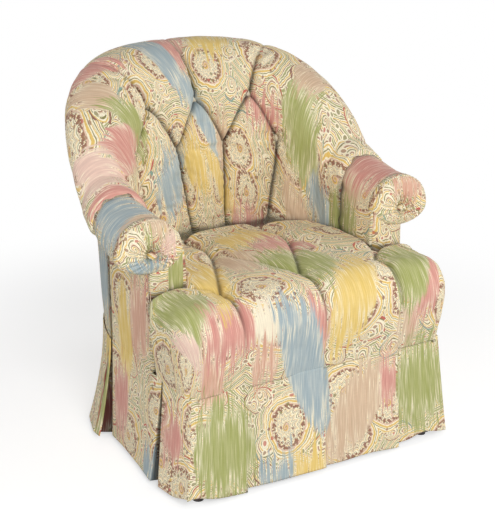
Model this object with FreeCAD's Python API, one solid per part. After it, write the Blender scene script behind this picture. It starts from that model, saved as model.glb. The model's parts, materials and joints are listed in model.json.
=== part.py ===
"""Button-tufted barrel-back club chair with rolled arms, a T-shaped seat and a pleated skirt.

Millimetres, +Z up. The origin is on the floor under the middle of the chair, which faces -Y.
The back sweeps round a vertical axis at BARREL_Y, so its pieces are lofts of radial sections.
An angle of 0 is the middle of the back, and 90 is the side where the back meets an arm.
"""
import FreeCAD
import Part
import math
import os

V = FreeCAD.Vector

# Fits
FIT = 0.3
DOWEL_FIT = 0.05

# Barrel back
BARREL_Y = 20.5
HEIGHT = 854.0
BACK_REACH = 369.0
WING_REACH = 386.0
WING_END_HEIGHT = 636.0
CREST_FALL_POWER = 3.2
WING_SWEEP_POWER = 1.28
CREST_ROLL_BACK = 40.0
CREST_ROLL_WING = 61.0
PANEL_UNDER = 14.0
PANEL_TUCK_BACK = 60.0
PANEL_TUCK_SIDE = 58.0
PANEL_HUG_POWER = 6.0
PANEL_FOOT_BACK = BACK_REACH - PANEL_TUCK_BACK
PANEL_FOOT_SIDE = WING_REACH - PANEL_TUCK_SIDE
PANEL_THICK = 4.0
PANEL_GAP = 2.6
INSIDE_BACK_Y = 181.5
INSIDE_LEVEL = 610.0
INSIDE_LEAN = 0.24
WING_INSIDE = WING_REACH - 2.0 * CREST_ROLL_WING
CORNER_POWER = 3
PAD_BOTTOM = 290.0

# Tufts of the back
BACK_ROW_HIGH = 742.0
BACK_ROW_HIGH_ANGLE = 42.8
BACK_ROW_LOW = 625.0
BACK_ROW_LOW_ANGLE = 24.4
BACK_ROW_LOW_OUTER_ANGLE = 60.0
TUFT_DEPTH = 14.0
FOLD_DEPTH = 3.0
PUFF_SWELL = 38.0
FOLD_SWELL = 26.0
PLEAT_SWELL = 10.0
WING_SWELL = 8.0
PLEAT_CREST = 0.82
BUTTON_RADIUS = 9.0
BUTTON_THICK = 7.0
BUTTON_SEAT_OPEN = 2.4

# Arms
ARM_FRONT_Y = -185.5
ARM_ROLL_FRONT = 77.0
ARM_ROLL_HEIGHT = 515.0
ARM_INSIDE_FRONT = WING_REACH - CREST_ROLL_WING - ARM_ROLL_FRONT
ARM_FACING = 10.0
GATHER_DEPTH = 14.0
GATHER_FOLDS = 16
GATHER_SWELL = 3.0
GATHER_RIM = 1.0
GATHER_SHOULDER = 0.4
GATHER_DIMPLE = 0.6
ROSETTE_RADIUS = 10.0

# Seat
SEAT_BOTTOM = 246.0
SEAT_FRONT_Y = -359.5
SEAT_EDGE = 362.0
SEAT_TOP = 442.0
SEAT_REAR_Y = 94.5
SEAT_REAR_FLAT = 74.0
SEAT_REAR_CORNER_Y = 52.5
SEAT_EAR_REACH = 98.0
SEAT_EAR_X = ARM_INSIDE_FRONT + SEAT_EAR_REACH
SEAT_NOSE = 18.0
WATERFALL = 70.0
SEAT_CROWN = 18.0
SEAT_FRONT_ROW_Y = -267.5
SEAT_FRONT_ROW_X = 202.0
SEAT_REAR_ROW_Y = -51.5
SEAT_REAR_ROW_X = 104.0
SEAT_TUFT_DEPTH = 24.0
SEAT_FOLD_DEPTH = 8.0
SEAT_PUFF = 26.0
SEAT_FOLD = 16.0
FRONT_SWELL = 6.0
FRONT_PLEAT = 2.0
EAR_SHOULDER = 0.8
EAR_DRAW = 1.2
FOAM_MARGIN = 24.0
FOAM_TOP = 380.0

# Wooden frame
RAIL_BOTTOM = 140.0
RAIL_TOP = 222.0
RAIL_THICK = 22.0
TOP_RAIL_TALL = 55.0
TACK_RAIL_TALL = 45.0
TACK_RAIL_THICK = 16.0
POST_WIDE = 44.0
POST_INSET = 2.0
BACK_POST_ANGLE = 26.0
ARM_POST_DEEP = 35.0
ARM_RAIL_TOP = 490.0
ARM_RAIL_TALL = 40.0
BLOCK_SIDE = 75.0
BLOCK_TALL = 50.0
DOWEL_RADIUS = 5.0
DOWEL_LONG = 50.0
DOWEL_INSET = 22.0
FRONT_DOWEL_SHARE = 0.4
REAR_DOWEL_SHARE = 0.8
SCREW_RADIUS = 2.5
SCREW_HEAD_RADIUS = 5.0
SCREW_HEAD = 3.0
SCREW_LONG = 45.0
SCREW_REACH = 0.55
SCREW_STAGGER = 10.0

# Legs
LEG_TOP = 34.0
LEG_TIP = 26.0
LEG_INSET = 22.0
REAR_LEG_ANGLE = 45.0
GLIDE_THICK = 6.0
GLIDE_RADIUS = 12.0
BOLT_RADIUS = 4.0
BOLT_LONG = 90.0

# Springing
SPRING_COUNT = 5
SPRING_SPACING = 90.0
SPRING_WIRE = 2.0
SPRING_LOOP = 20.0
CLIP_WIDE = 20.0
CLIP_LONG = 16.0
CLIP_TALL = 6.0
WEBBING_THICK = 1.6
WEBBING_GAP = 3.0
WEBBING_SIDE_SNUG = 0.7
PAD_GAP = 2.0
WEBBING_WIDE = 46.0
WEBBING_DROP = 18.0
WEBBING_ANGLES = (-52.0, -37.0, 0.0, 37.0, 52.0)
BURLAP_THICK = 2.0
DECK_SIDE_GAP = 2.0
DUST_COVER_THICK = 1.5

# Skirt
SKIRT_GROUND = 12.0
SKIRT_THICK = 4.0
SKIRT_TACK = 3.0
SKIRT_FLARE = 24.0
CORNER_FLARE = 16.0
FRONT_FLARE = 15.0
PLEAT_STEP_TOP = 2.0
PLEAT_STEP_HEM = 15.0
PLEAT_TURN = 6.0
SIDE_PLEAT_Y = -245.5
SIDE_PLEAT_GAP = 34.0
SIDE_PLEAT_DEEP = 24.0
BACK_PLEAT_DEEP = 22.0

QUARTER_SAG = 1.0 - math.sqrt(0.5)
FRAME_OUTER_X = PANEL_FOOT_SIDE - PANEL_THICK - PANEL_GAP
FRAME_INNER_X = FRAME_OUTER_X - RAIL_THICK
ARM_FRAME_INNER_X = FRAME_INNER_X - TACK_RAIL_THICK
DECK_X = ARM_FRAME_INNER_X - DECK_SIDE_GAP
SKIRT_TOP = SEAT_BOTTOM - FIT
FRONT_RAIL_Y = SEAT_FRONT_Y + SKIRT_THICK + SKIRT_TACK
LEG_X = FRAME_OUTER_X - LEG_INSET
LEG_Y = FRONT_RAIL_Y + LEG_TOP / 2.0
TACK_RAIL_TOP = PAD_BOTTOM + TACK_RAIL_TALL
PANEL_HEAD_BACK = BACK_REACH - CREST_ROLL_BACK + PANEL_UNDER
EAR_REAR_Y = ARM_FRONT_Y - ARM_FACING - 2.0 * FIT - GATHER_DEPTH


# Curves that the whole chair follows

def sweep(angle):
    """How far round towards the side an angle is: 0 at the middle of the back, 1 at the arm."""
    return abs(math.sin(math.radians(angle))) ** WING_SWEEP_POWER


def crest_top(angle):
    return HEIGHT - (HEIGHT - WING_END_HEIGHT) * (abs(angle) / 90.0) ** CREST_FALL_POWER


def crest_roll(angle):
    return CREST_ROLL_BACK + (CREST_ROLL_WING - CREST_ROLL_BACK) * (angle / 90.0) ** 2


def crest_outer(angle):
    return BACK_REACH + (WING_REACH - BACK_REACH) * sweep(angle)


def crest_middle(angle):
    return crest_outer(angle) - crest_roll(angle)


def crest_level(angle):
    return crest_top(angle) - crest_roll(angle)


def panel_foot(angle):
    """Foot of the outside back, which hugs the frame and widens only close to the arms."""
    return PANEL_FOOT_BACK + (PANEL_FOOT_SIDE - PANEL_FOOT_BACK) * (abs(angle) / 90.0) ** PANEL_HUG_POWER


def panel_head(angle):
    """Top of the outside back, tucked under the roll of the crest and plumb where it meets the arm."""
    return PANEL_HEAD_BACK + (PANEL_FOOT_SIDE - PANEL_HEAD_BACK) * sweep(angle)


def crest_under(angle):
    """Height at which the roll of the crest comes down to the outside back."""
    reach = panel_head(angle) - crest_middle(angle)
    return crest_level(angle) - math.sqrt(crest_roll(angle) ** 2 - reach ** 2)


def panel_line(angle, height):
    """Outer face of the outside back, which leans outwards with height."""
    share = (height - SEAT_BOTTOM) / (crest_level(angle) - SEAT_BOTTOM)
    return panel_foot(angle) + (panel_head(angle) - panel_foot(angle)) * share


def frame_inner(angle, height):
    """Inner face of the posts and rails of the back, just inside the outside back."""
    return panel_line(angle, height) - PANEL_THICK - PANEL_GAP - RAIL_THICK


def webbing_face(angle, height):
    """Front face of the webbing, stretched from the tacking rail to the top rail."""
    low = frame_inner(angle, TACK_RAIL_TOP) - TACK_RAIL_THICK
    high = frame_inner(angle, crest_level(angle))
    share = (height - TACK_RAIL_TOP) / (crest_level(angle) - TACK_RAIL_TOP)
    return low + (high - low) * share - WEBBING_THICK - WEBBING_GAP


def inside_radius(angle, height):
    """The sitter's side of the back: flat across the middle and rounded into the wings."""
    flat_y = INSIDE_BACK_Y + (height - INSIDE_LEVEL) * INSIDE_LEAN
    flat = (flat_y - BARREL_Y) / max(math.cos(math.radians(angle)), 0.02)
    return (flat ** -CORNER_POWER + WING_INSIDE ** -CORNER_POWER) ** (-1.0 / CORNER_POWER)


def polar(angle, radius, height, along=0.0):
    """A point of the barrel, moved sideways by along."""
    turn = math.radians(angle)
    x = radius * math.sin(turn) + along * math.cos(turn)
    y = BARREL_Y + radius * math.cos(turn) - along * math.sin(turn)
    return V(x, y, height)


# Shape helpers

def outline(profile, place):
    """Closed wire through (u, v, sag) corners; sag bows the edge that follows out to its left."""
    edges = []
    for index, (u, v, sag) in enumerate(profile):
        next_u, next_v, _ = profile[(index + 1) % len(profile)]
        start = place(u, v)
        end = place(next_u, next_v)
        if sag == 0:
            edges.append(Part.LineSegment(start, end).toShape())
            continue
        length = math.hypot(next_u - u, next_v - v)
        middle_u = (u + next_u) / 2.0 - sag * (next_v - v) / length
        middle_v = (v + next_v) / 2.0 + sag * (next_u - u) / length
        edges.append(Part.Arc(start, place(middle_u, middle_v), end).toShape())
    return Part.Wire(edges)


def loft(wires):
    return Part.makeLoft(wires, True, True)


def box(low, high):
    return Part.makeBox(high[0] - low[0], high[1] - low[1], high[2] - low[2], V(*low))


def rod(start, direction, radius, length):
    return Part.makeCylinder(radius, length, V(*start), V(*direction))


def mirrored(shape):
    return shape.mirror(V(0, 0, 0), V(1, 0, 0))


def drilled(shape, tools):
    for tool in tools:
        shape = shape.cut(tool)
    return shape


def both_sides(shape):
    return [shape, mirrored(shape)]


def radial_loft(angles, section):
    """Loft of the (radius, height, sag) sections that section(angle) gives round the barrel."""
    wires = []
    for angle in angles:
        wires.append(outline(section(angle), lambda radius, height, turn=angle: polar(turn, radius, height)))
    return loft(wires)


def level_sag(run, rise):
    """Sag of an arc that climbs by rise over run and arrives level at its upper end."""
    lean = math.atan2(run, rise)
    return math.hypot(run, rise) / 2.0 * math.tan((math.pi / 2.0 - lean) / 2.0)


def spread(low, high, steps):
    return [low + (high - low) * step / steps for step in range(steps + 1)]


# Tufted back

FOLD_HEIGHT = (BACK_ROW_HIGH + BACK_ROW_LOW) / 2.0


def middle_station(first, second):
    """Section half way between a high button and a low one, across the fold that joins them."""
    return ((first + second) / 2.0, FOLD_HEIGHT, FOLD_DEPTH, FOLD_SWELL, 1.0)


def high_station(angle):
    return (angle, BACK_ROW_HIGH, TUFT_DEPTH, PUFF_SWELL, PLEAT_CREST)


def low_station(angle):
    return (angle, BACK_ROW_LOW, TUFT_DEPTH, PLEAT_SWELL, 1.0)


def wing_station(angle):
    """A plain section of the wing, whose face has no tuft."""
    return (angle, min(BACK_ROW_LOW, crest_level(angle)), 0.0, WING_SWELL, 1.0)


def back_stations():
    """Half of the back as (angle, fold height, fold depth, swell below, fullness above)."""
    stations = [
        high_station(0.0),
        middle_station(0.0, BACK_ROW_LOW_ANGLE),
        low_station(BACK_ROW_LOW_ANGLE),
        middle_station(BACK_ROW_LOW_ANGLE, BACK_ROW_HIGH_ANGLE),
        high_station(BACK_ROW_HIGH_ANGLE),
        middle_station(BACK_ROW_HIGH_ANGLE, BACK_ROW_LOW_OUTER_ANGLE),
        low_station(BACK_ROW_LOW_OUTER_ANGLE),
    ]
    for angle in spread(BACK_ROW_LOW_OUTER_ANGLE, 90.0, 4)[1:]:
        stations.append(wing_station(angle))
    return stations


def under_sag(roll, reach, drop):
    """Sag of the arc of a roll that goes on below its widest point."""
    chord = math.hypot(reach, drop)
    return roll - math.sqrt(roll ** 2 - chord ** 2 / 4.0)


def full_round(half):
    """The stations of both halves of the back, from the left arm round to the right one."""
    return [(-station[0],) + station[1:] for station in reversed(half[1:])] + half


BARREL_ANGLES = [station[0] for station in full_round(back_stations())]
POST_ANGLES = BARREL_ANGLES[1:-1]
WING_POST_ANGLE = POST_ANGLES[-1]


def back_section(station):
    """Hooked section: padding in front of the frame, over the top rail and under the roll."""
    angle, fold_height, fold_depth, swell, fullness = station
    roll = crest_roll(angle)
    level = crest_level(angle)
    middle = crest_middle(angle)
    outer = crest_outer(angle)
    under = crest_under(angle)
    head = panel_line(angle, under)
    fold = inside_radius(angle, fold_height) + fold_depth
    rail_outer = frame_inner(angle, level) + RAIL_THICK + PAD_GAP
    pad_back_top = webbing_face(angle, level) - PAD_GAP
    return [
        (inside_radius(angle, PAD_BOTTOM), PAD_BOTTOM, swell),
        (fold, fold_height, fullness * level_sag(middle - fold, level + roll - fold_height)),
        (middle, level + roll, roll * QUARTER_SAG),
        (outer, level, under_sag(roll, outer - head, level - under)),
        (head, under, 0),
        (rail_outer, under, 0),
        (rail_outer, level + FIT, 0),
        (pad_back_top, level + FIT, 0),
        (webbing_face(angle, PAD_BOTTOM) - PAD_GAP, PAD_BOTTOM, 0),
    ]


def back_cover():
    wires = []
    for station in full_round(back_stations()):
        angle = station[0]
        wires.append(outline(back_section(station), lambda r, z, turn=angle: polar(turn, r, z)))
    return drilled(loft(wires), back_button_solids(FIT))


def button(seat, forward, extra):
    """Covered button on its seat; extra makes the open recess that it sits in."""
    depth = BUTTON_THICK + (BUTTON_SEAT_OPEN if extra else 0.0)
    return Part.makeCylinder(BUTTON_RADIUS + extra, depth + extra, seat, forward)


def back_button_solids(extra):
    places = [(0.0, BACK_ROW_HIGH)]
    for side in (-1, 1):
        places.append((side * BACK_ROW_HIGH_ANGLE, BACK_ROW_HIGH))
        places.append((side * BACK_ROW_LOW_ANGLE, BACK_ROW_LOW))
        places.append((side * BACK_ROW_LOW_OUTER_ANGLE, BACK_ROW_LOW))
    solids = []
    for angle, height in places:
        radius = inside_radius(angle, height) + TUFT_DEPTH - FIT + extra
        seat = polar(angle, radius, height)
        solids.append(button(seat, polar(angle, radius - 1.0, height) - seat, extra))
    return solids


def outside_back():
    def section(angle):
        top = crest_under(angle) - FIT
        foot = panel_line(angle, SEAT_BOTTOM)
        head = panel_line(angle, top)
        return [(foot, SEAT_BOTTOM, 0), (foot - PANEL_THICK, SEAT_BOTTOM, 0),
                (head - PANEL_THICK, top, 0), (head, top, 0)]
    return radial_loft(BARREL_ANGLES, section)


# Arms

def arm_section(inside, roll, level):
    """Rolled arm: inner face, three arcs of the roll, then the pocket for the wooden frame."""
    centre = inside + roll
    under = level - math.sqrt(roll ** 2 - (PANEL_FOOT_SIDE - centre) ** 2)
    outer = inside + 2.0 * roll
    pocket_in = ARM_FRAME_INNER_X - FIT
    pocket_out = FRAME_OUTER_X + FIT
    return [
        (inside, PAD_BOTTOM, 0),
        (inside, level, roll * QUARTER_SAG),
        (centre, level + roll, roll * QUARTER_SAG),
        (outer, level, under_sag(roll, outer - PANEL_FOOT_SIDE, level - under)),
        (PANEL_FOOT_SIDE, under, 0),
        (pocket_out, under, 0),
        (pocket_out, ARM_RAIL_TOP + FIT, 0),
        (pocket_in, ARM_RAIL_TOP + FIT, 0),
        (pocket_in, PAD_BOTTOM, 0),
    ]


def arm_roll_at(y):
    """Inner face, roll radius and roll height of the arm between its front and the back."""
    rear_y = BARREL_Y - FIT
    share = (y - ARM_FRONT_Y) / (rear_y - ARM_FRONT_Y)
    rear_level = WING_END_HEIGHT - CREST_ROLL_WING
    inside = ARM_INSIDE_FRONT + (WING_INSIDE - ARM_INSIDE_FRONT) * share
    roll = ARM_ROLL_FRONT + (CREST_ROLL_WING - ARM_ROLL_FRONT) * share
    level = ARM_ROLL_HEIGHT + (rear_level - ARM_ROLL_HEIGHT) * share ** 2
    return inside, roll, level


ARM_STATIONS = spread(ARM_FRONT_Y, BARREL_Y - FIT, 4)


def arm_cover():
    wires = []
    for y in ARM_STATIONS:
        wires.append(outline(arm_section(*arm_roll_at(y)), lambda x, z, depth=y: V(x, depth, z)))
    return loft(wires)


def arm_facing():
    """Flat facing on the arm's front, from behind the seat up to the middle of the roll."""
    y = ARM_FRONT_Y - FIT
    low = (ARM_INSIDE_FRONT, y - ARM_FACING, SEAT_BOTTOM + FIT)
    high = (FRAME_OUTER_X, y, ARM_ROLL_HEIGHT)
    centre = V(ARM_INSIDE_FRONT + ARM_ROLL_FRONT, y, ARM_ROLL_HEIGHT)
    disc = Part.makeCylinder(ARM_ROLL_FRONT, ARM_FACING, centre, V(0, -1, 0))
    return box(low, high).fuse(disc).removeSplitter()


def gather_wire(radius, y, swell):
    """Ring of small outward arcs, one for each gathered fold."""
    centre_x = ARM_INSIDE_FRONT + ARM_ROLL_FRONT
    corners = []
    for fold in range(GATHER_FOLDS):
        turn = 2.0 * math.pi * fold / GATHER_FOLDS
        across = radius * math.cos(turn)
        corners.append((centre_x + across, ARM_ROLL_HEIGHT + radius * math.sin(turn), -swell))
    return outline(corners, lambda x, z: V(x, y, z))


def arm_gather():
    """Domed end of the roll, with folds that run in to the rosette."""
    back_y = ARM_FRONT_Y - ARM_FACING - 2.0 * FIT
    rim = ARM_ROLL_FRONT - GATHER_SWELL - GATHER_RIM
    hub = ROSETTE_RADIUS + GATHER_SWELL
    return loft([
        gather_wire(rim, back_y, GATHER_SWELL),
        gather_wire(rim, back_y - GATHER_DEPTH * GATHER_SHOULDER, GATHER_SWELL),
        gather_wire((rim + hub) / 2.0, back_y - GATHER_DEPTH, GATHER_SWELL),
        gather_wire(hub, back_y - GATHER_DEPTH * GATHER_DIMPLE, GATHER_SWELL / 2.0),
    ])


def rosette():
    y = ARM_FRONT_Y - ARM_FACING - 3.0 * FIT - GATHER_DEPTH * GATHER_DIMPLE
    centre = V(ARM_INSIDE_FRONT + ARM_ROLL_FRONT, y, ARM_ROLL_HEIGHT)
    return Part.makeCylinder(ROSETTE_RADIUS, BUTTON_THICK, centre, V(0, -1, 0))


def outside_arm():
    """Panel that closes the outside of the arm below its roll."""
    wires = []
    for y in [ARM_FRONT_Y - ARM_FACING] + ARM_STATIONS:
        inside, roll, level = arm_roll_at(max(y, ARM_FRONT_Y))
        reach = PANEL_FOOT_SIDE - inside - roll
        top = level - math.sqrt(roll ** 2 - reach ** 2) - FIT
        inner = PANEL_FOOT_SIDE - PANEL_THICK
        profile = [(inner, SEAT_BOTTOM, 0), (inner, top, 0),
                   (PANEL_FOOT_SIDE, top, 0), (PANEL_FOOT_SIDE, SEAT_BOTTOM, 0)]
        wires.append(outline(profile, lambda x, z, depth=y: V(x, depth, z)))
    return loft(wires)


# Seat

def seat_crown(x):
    """Height lost towards the sides."""
    return SEAT_CROWN * (x / SEAT_EAR_X) ** 2


def seat_front(x):
    """Front profile points at x, shared by the middle of the seat and its ears."""
    drop = seat_crown(x)
    on_pleat = min(abs(x), abs(abs(x) - SEAT_FRONT_ROW_X)) < 1.0
    swell = FRONT_PLEAT if on_pleat else FRONT_SWELL
    nose = SEAT_FRONT_Y - SEAT_NOSE
    return [
        (SEAT_FRONT_Y, SEAT_BOTTOM, swell),
        (nose, SEAT_EDGE - drop, level_sag(WATERFALL, SEAT_TOP - SEAT_EDGE)),
        (nose + WATERFALL, SEAT_TOP - drop, SEAT_FOLD / 2.0 + swell / 2.0),
    ]


def seat_section(x, fold_y, fold_depth, swell):
    drop = seat_crown(x)
    rear = SEAT_REAR_Y
    if abs(x) > SEAT_REAR_FLAT:
        share = (abs(x) - SEAT_REAR_FLAT) / (ARM_INSIDE_FRONT - SEAT_REAR_FLAT)
        rear = SEAT_REAR_Y + (SEAT_REAR_CORNER_Y - SEAT_REAR_Y) * share
    return seat_front(x) + [
        (fold_y, SEAT_TOP - drop - fold_depth, swell),
        (rear, SEAT_TOP - drop - SEAT_FOLD, 0),
        (rear, SEAT_BOTTOM, 0),
    ]


def seat_middle():
    middle_y = (SEAT_FRONT_ROW_Y + SEAT_REAR_ROW_Y) / 2.0
    edge = ARM_INSIDE_FRONT - FIT
    half = [
        (0.0, SEAT_FRONT_ROW_Y, SEAT_TUFT_DEPTH, SEAT_PUFF),
        (SEAT_REAR_ROW_X / 2.0, middle_y, SEAT_FOLD_DEPTH, SEAT_FOLD),
        (SEAT_REAR_ROW_X, SEAT_REAR_ROW_Y, SEAT_TUFT_DEPTH, SEAT_FOLD / 2.0),
        ((SEAT_REAR_ROW_X + SEAT_FRONT_ROW_X) / 2.0, middle_y, SEAT_FOLD_DEPTH, SEAT_FOLD),
        (SEAT_FRONT_ROW_X, SEAT_FRONT_ROW_Y, SEAT_TUFT_DEPTH, SEAT_PUFF),
        (edge, SEAT_FRONT_ROW_Y, SEAT_FOLD_DEPTH, SEAT_FOLD),
    ]
    other = [(-station[0],) + station[1:] for station in reversed(half[1:])]
    wires = []
    for x, fold_y, fold_depth, swell in other + half:
        wires.append(outline(seat_section(x, fold_y, fold_depth, swell), lambda y, z, side=x: V(side, y, z)))
    return loft(wires)


def seat_ear():
    """Front corner of the T, which wraps across the front of the arm with a rounded end."""
    edge = ARM_INSIDE_FRONT - FIT
    reach = SEAT_EAR_X - edge
    wires = []
    for share in (0.0, 0.45, EAR_SHOULDER, 0.95, 1.0):
        x = edge + reach * share
        round_off = WATERFALL / 2.0 * (1.0 - math.sqrt(1.0 - share ** 4))
        profile = []
        for y, z, sag in seat_front(edge + reach * min(share, EAR_SHOULDER)):
            lift = -round_off if z > SEAT_BOTTOM else EAR_DRAW * round_off
            profile.append((y + round_off, z + lift, sag))
        profile.append((EAR_REAR_Y, profile[-1][1] - SEAT_FOLD_DEPTH, 0))
        profile.append((EAR_REAR_Y, profile[0][1], 0))
        wires.append(outline(profile, lambda y, z, side=x: V(side, y, z)))
    return loft(wires)


def seat_button_solids(extra):
    solids = []
    places = [(0.0, SEAT_FRONT_ROW_Y)]
    for side in (-1, 1):
        places.append((side * SEAT_FRONT_ROW_X, SEAT_FRONT_ROW_Y))
        places.append((side * SEAT_REAR_ROW_X, SEAT_REAR_ROW_Y))
    for x, y in places:
        seat = V(x, y, SEAT_TOP - seat_crown(x) - SEAT_TUFT_DEPTH + FIT - extra)
        solids.append(button(seat, V(0, 0, 1), extra))
    return solids


def foam_block(extra):
    side = ARM_INSIDE_FRONT - FOAM_MARGIN
    low = (-side - extra, SEAT_FRONT_Y + 2.0 * FOAM_MARGIN - extra, SEAT_BOTTOM + FOAM_MARGIN / 2.0 - extra)
    high = (side + extra, SEAT_REAR_CORNER_Y - FOAM_MARGIN + extra, FOAM_TOP + extra)
    return box(low, high)


def seat_cover():
    cover = seat_middle()
    for ear in both_sides(seat_ear()):
        cover = cover.fuse(ear)
    return drilled(cover, seat_button_solids(FIT) + [foam_block(FIT)])


# Wooden frame

def dowel_places():
    """Start points and directions of the dowels across the front and rear rail joints."""
    places = []
    for height in (RAIL_BOTTOM + DOWEL_INSET, RAIL_TOP - DOWEL_INSET):
        x = (FRAME_INNER_X + FRAME_OUTER_X) / 2.0
        places.append((x, FRONT_RAIL_Y + RAIL_THICK - DOWEL_LONG * FRONT_DOWEL_SHARE, height))
        places.append((x, BARREL_Y - DOWEL_LONG * REAR_DOWEL_SHARE, height))
    return places


def dowels(extra):
    solids = []
    for place in dowel_places():
        start = (place[0], place[1] - extra, place[2])
        solids += both_sides(rod(start, (0, 1, 0), DOWEL_RADIUS + extra, DOWEL_LONG + 2.0 * extra))
    return solids


def leg_places():
    """The rail's angle and the floor point of each leg: front left, front right, rear left, rear right."""
    places = [(0.0, V(side * LEG_X, LEG_Y, 0)) for side in (-1, 1)]
    for angle in (-REAR_LEG_ANGLE, REAR_LEG_ANGLE):
        radius = panel_foot(angle) - PANEL_THICK - PANEL_GAP - RAIL_THICK / 2.0
        places.append((angle, polar(angle, radius, 0)))
    return places


def leg_block(angle, place, low_size, high_size, low, high):
    """Tapered square block that stands square to the rail above it."""
    turn = math.radians(angle)
    wires = []
    for half, height in ((low_size / 2.0, low), (high_size / 2.0, high)):
        across = V(math.cos(turn), -math.sin(turn), 0) * half
        along = V(math.sin(turn), math.cos(turn), 0) * half
        centre = place + V(0, 0, height)
        near = [centre - across - along, centre + across - along]
        far = [centre + across + along, centre - across + along]
        wires.append(Part.makePolygon(near + far + near[:1]))
    return loft(wires)


def leg_bolts(extra):
    solids = []
    for _, place in leg_places():
        start = (place.x, place.y, RAIL_BOTTOM - BOLT_LONG / 2.0 - extra)
        solids.append(rod(start, (0, 0, 1), BOLT_RADIUS + extra, BOLT_LONG + 2.0 * extra))
    return solids


def corner_block():
    """Glued triangle in the front corner of the seat frame."""
    x = FRAME_INNER_X
    y = FRONT_RAIL_Y + RAIL_THICK
    bottom = RAIL_TOP - BLOCK_TALL
    corners = [V(x, y, bottom), V(x - BLOCK_SIDE, y, bottom), V(x, y + BLOCK_SIDE, bottom), V(x, y, bottom)]
    return Part.Face(Part.makePolygon(corners)).extrude(V(0, 0, BLOCK_TALL))


def block_screws(extra):
    """Screws through each block into the front rail and the side rail."""
    solids = []
    height = RAIL_TOP - BLOCK_TALL / 2.0
    reach = BLOCK_SIDE * SCREW_REACH
    depth = BLOCK_SIDE - reach
    front = (FRAME_INNER_X - reach, FRONT_RAIL_Y + RAIL_THICK + depth, height - SCREW_STAGGER)
    side = (FRAME_INNER_X - depth, FRONT_RAIL_Y + RAIL_THICK + reach, height + SCREW_STAGGER)
    for start, direction in ((front, (0, -1, 0)), (side, (1, 0, 0))):
        shank = rod(start, direction, SCREW_RADIUS + extra, SCREW_LONG + extra)
        away = tuple(-part for part in direction)
        head = rod(start, away, SCREW_HEAD_RADIUS + extra, SCREW_HEAD)
        sink = rod(start, direction, SCREW_HEAD_RADIUS + extra, SCREW_HEAD)
        solids += both_sides(shank.fuse(head).fuse(sink).removeSplitter())
    return solids


def front_rail():
    rail = box((-FRAME_OUTER_X, FRONT_RAIL_Y, RAIL_BOTTOM),
               (FRAME_OUTER_X, FRONT_RAIL_Y + RAIL_THICK, RAIL_TOP))
    return drilled(rail, dowels(DOWEL_FIT) + leg_bolts(DOWEL_FIT) + block_screws(DOWEL_FIT))


def side_rail():
    rail = box((FRAME_INNER_X, FRONT_RAIL_Y + RAIL_THICK, RAIL_BOTTOM), (FRAME_OUTER_X, BARREL_Y, RAIL_TOP))
    return drilled(rail, dowels(DOWEL_FIT) + block_screws(DOWEL_FIT))


def rear_rail():
    """Curved bow that joins the ends of the side rails round the back."""
    def section(angle):
        outer = panel_foot(angle) - PANEL_THICK - PANEL_GAP
        return [(outer - RAIL_THICK, RAIL_BOTTOM, 0), (outer - RAIL_THICK, RAIL_TOP, 0),
                (outer, RAIL_TOP, 0), (outer, RAIL_BOTTOM, 0)]
    return drilled(radial_loft(BARREL_ANGLES, section), dowels(DOWEL_FIT) + leg_bolts(DOWEL_FIT))


def top_rail():
    def section(angle):
        level = crest_level(angle)
        foot = frame_inner(angle, level - TOP_RAIL_TALL)
        head = frame_inner(angle, level)
        return [(foot, level - TOP_RAIL_TALL, 0), (head, level, 0),
                (head + RAIL_THICK, level, 0), (foot + RAIL_THICK, level - TOP_RAIL_TALL, 0)]
    return radial_loft(POST_ANGLES, section)


def back_tack_rail():
    """Low curved rail that the webbing and the inside back are fixed to."""
    def section(angle):
        low = frame_inner(angle, PAD_BOTTOM)
        high = frame_inner(angle, TACK_RAIL_TOP)
        return [(low - TACK_RAIL_THICK, PAD_BOTTOM, 0), (high - TACK_RAIL_THICK, TACK_RAIL_TOP, 0),
                (high, TACK_RAIL_TOP, 0), (low, PAD_BOTTOM, 0)]
    return radial_loft(POST_ANGLES, section)


def back_post(angle):
    """Upright between the rear rail and the underside of the top rail."""
    half = POST_WIDE / 2.0
    wires = []
    for height in (RAIL_TOP, crest_level(angle) - TOP_RAIL_TALL):
        inner = frame_inner(angle, height)
        outer = inner + RAIL_THICK - POST_INSET
        corners = [(inner, -half, 0), (outer, -half, 0), (outer, half, 0), (inner, half, 0)]
        wires.append(outline(corners, lambda r, along, level=height: polar(angle, r, level, along)))
    return loft(wires).cut(top_rail()).cut(back_tack_rail())


def arm_post():
    low = (ARM_FRAME_INNER_X, ARM_FRONT_Y, RAIL_TOP)
    return box(low, (FRAME_OUTER_X, ARM_FRONT_Y + ARM_POST_DEEP, ARM_RAIL_TOP))


def arm_rail_end():
    """Where the arm's rails meet the front face of the wing post."""
    return polar(WING_POST_ANGLE, frame_inner(WING_POST_ANGLE, ARM_RAIL_TOP), 0, POST_WIDE / 2.0).y


def arm_rail():
    low = (FRAME_INNER_X, ARM_FRONT_Y + ARM_POST_DEEP, ARM_RAIL_TOP - ARM_RAIL_TALL)
    return box(low, (FRAME_OUTER_X, arm_rail_end(), ARM_RAIL_TOP)).cut(back_post(WING_POST_ANGLE))


def arm_tack_rail():
    low = (ARM_FRAME_INNER_X, ARM_FRONT_Y + ARM_POST_DEEP, PAD_BOTTOM)
    high = (FRAME_INNER_X, BARREL_Y, TACK_RAIL_TOP)
    return box(low, high)


def leg(angle, place):
    """Square leg that tapers to its tip."""
    return drilled(leg_block(angle, place, LEG_TIP, LEG_TOP, GLIDE_THICK, RAIL_BOTTOM), leg_bolts(DOWEL_FIT))


def glides():
    return [rod((place.x, place.y, 0), (0, 0, 1), GLIDE_RADIUS, GLIDE_THICK) for _, place in leg_places()]


# Springing

SPRING_Z = RAIL_TOP + CLIP_TALL / 2.0


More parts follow.
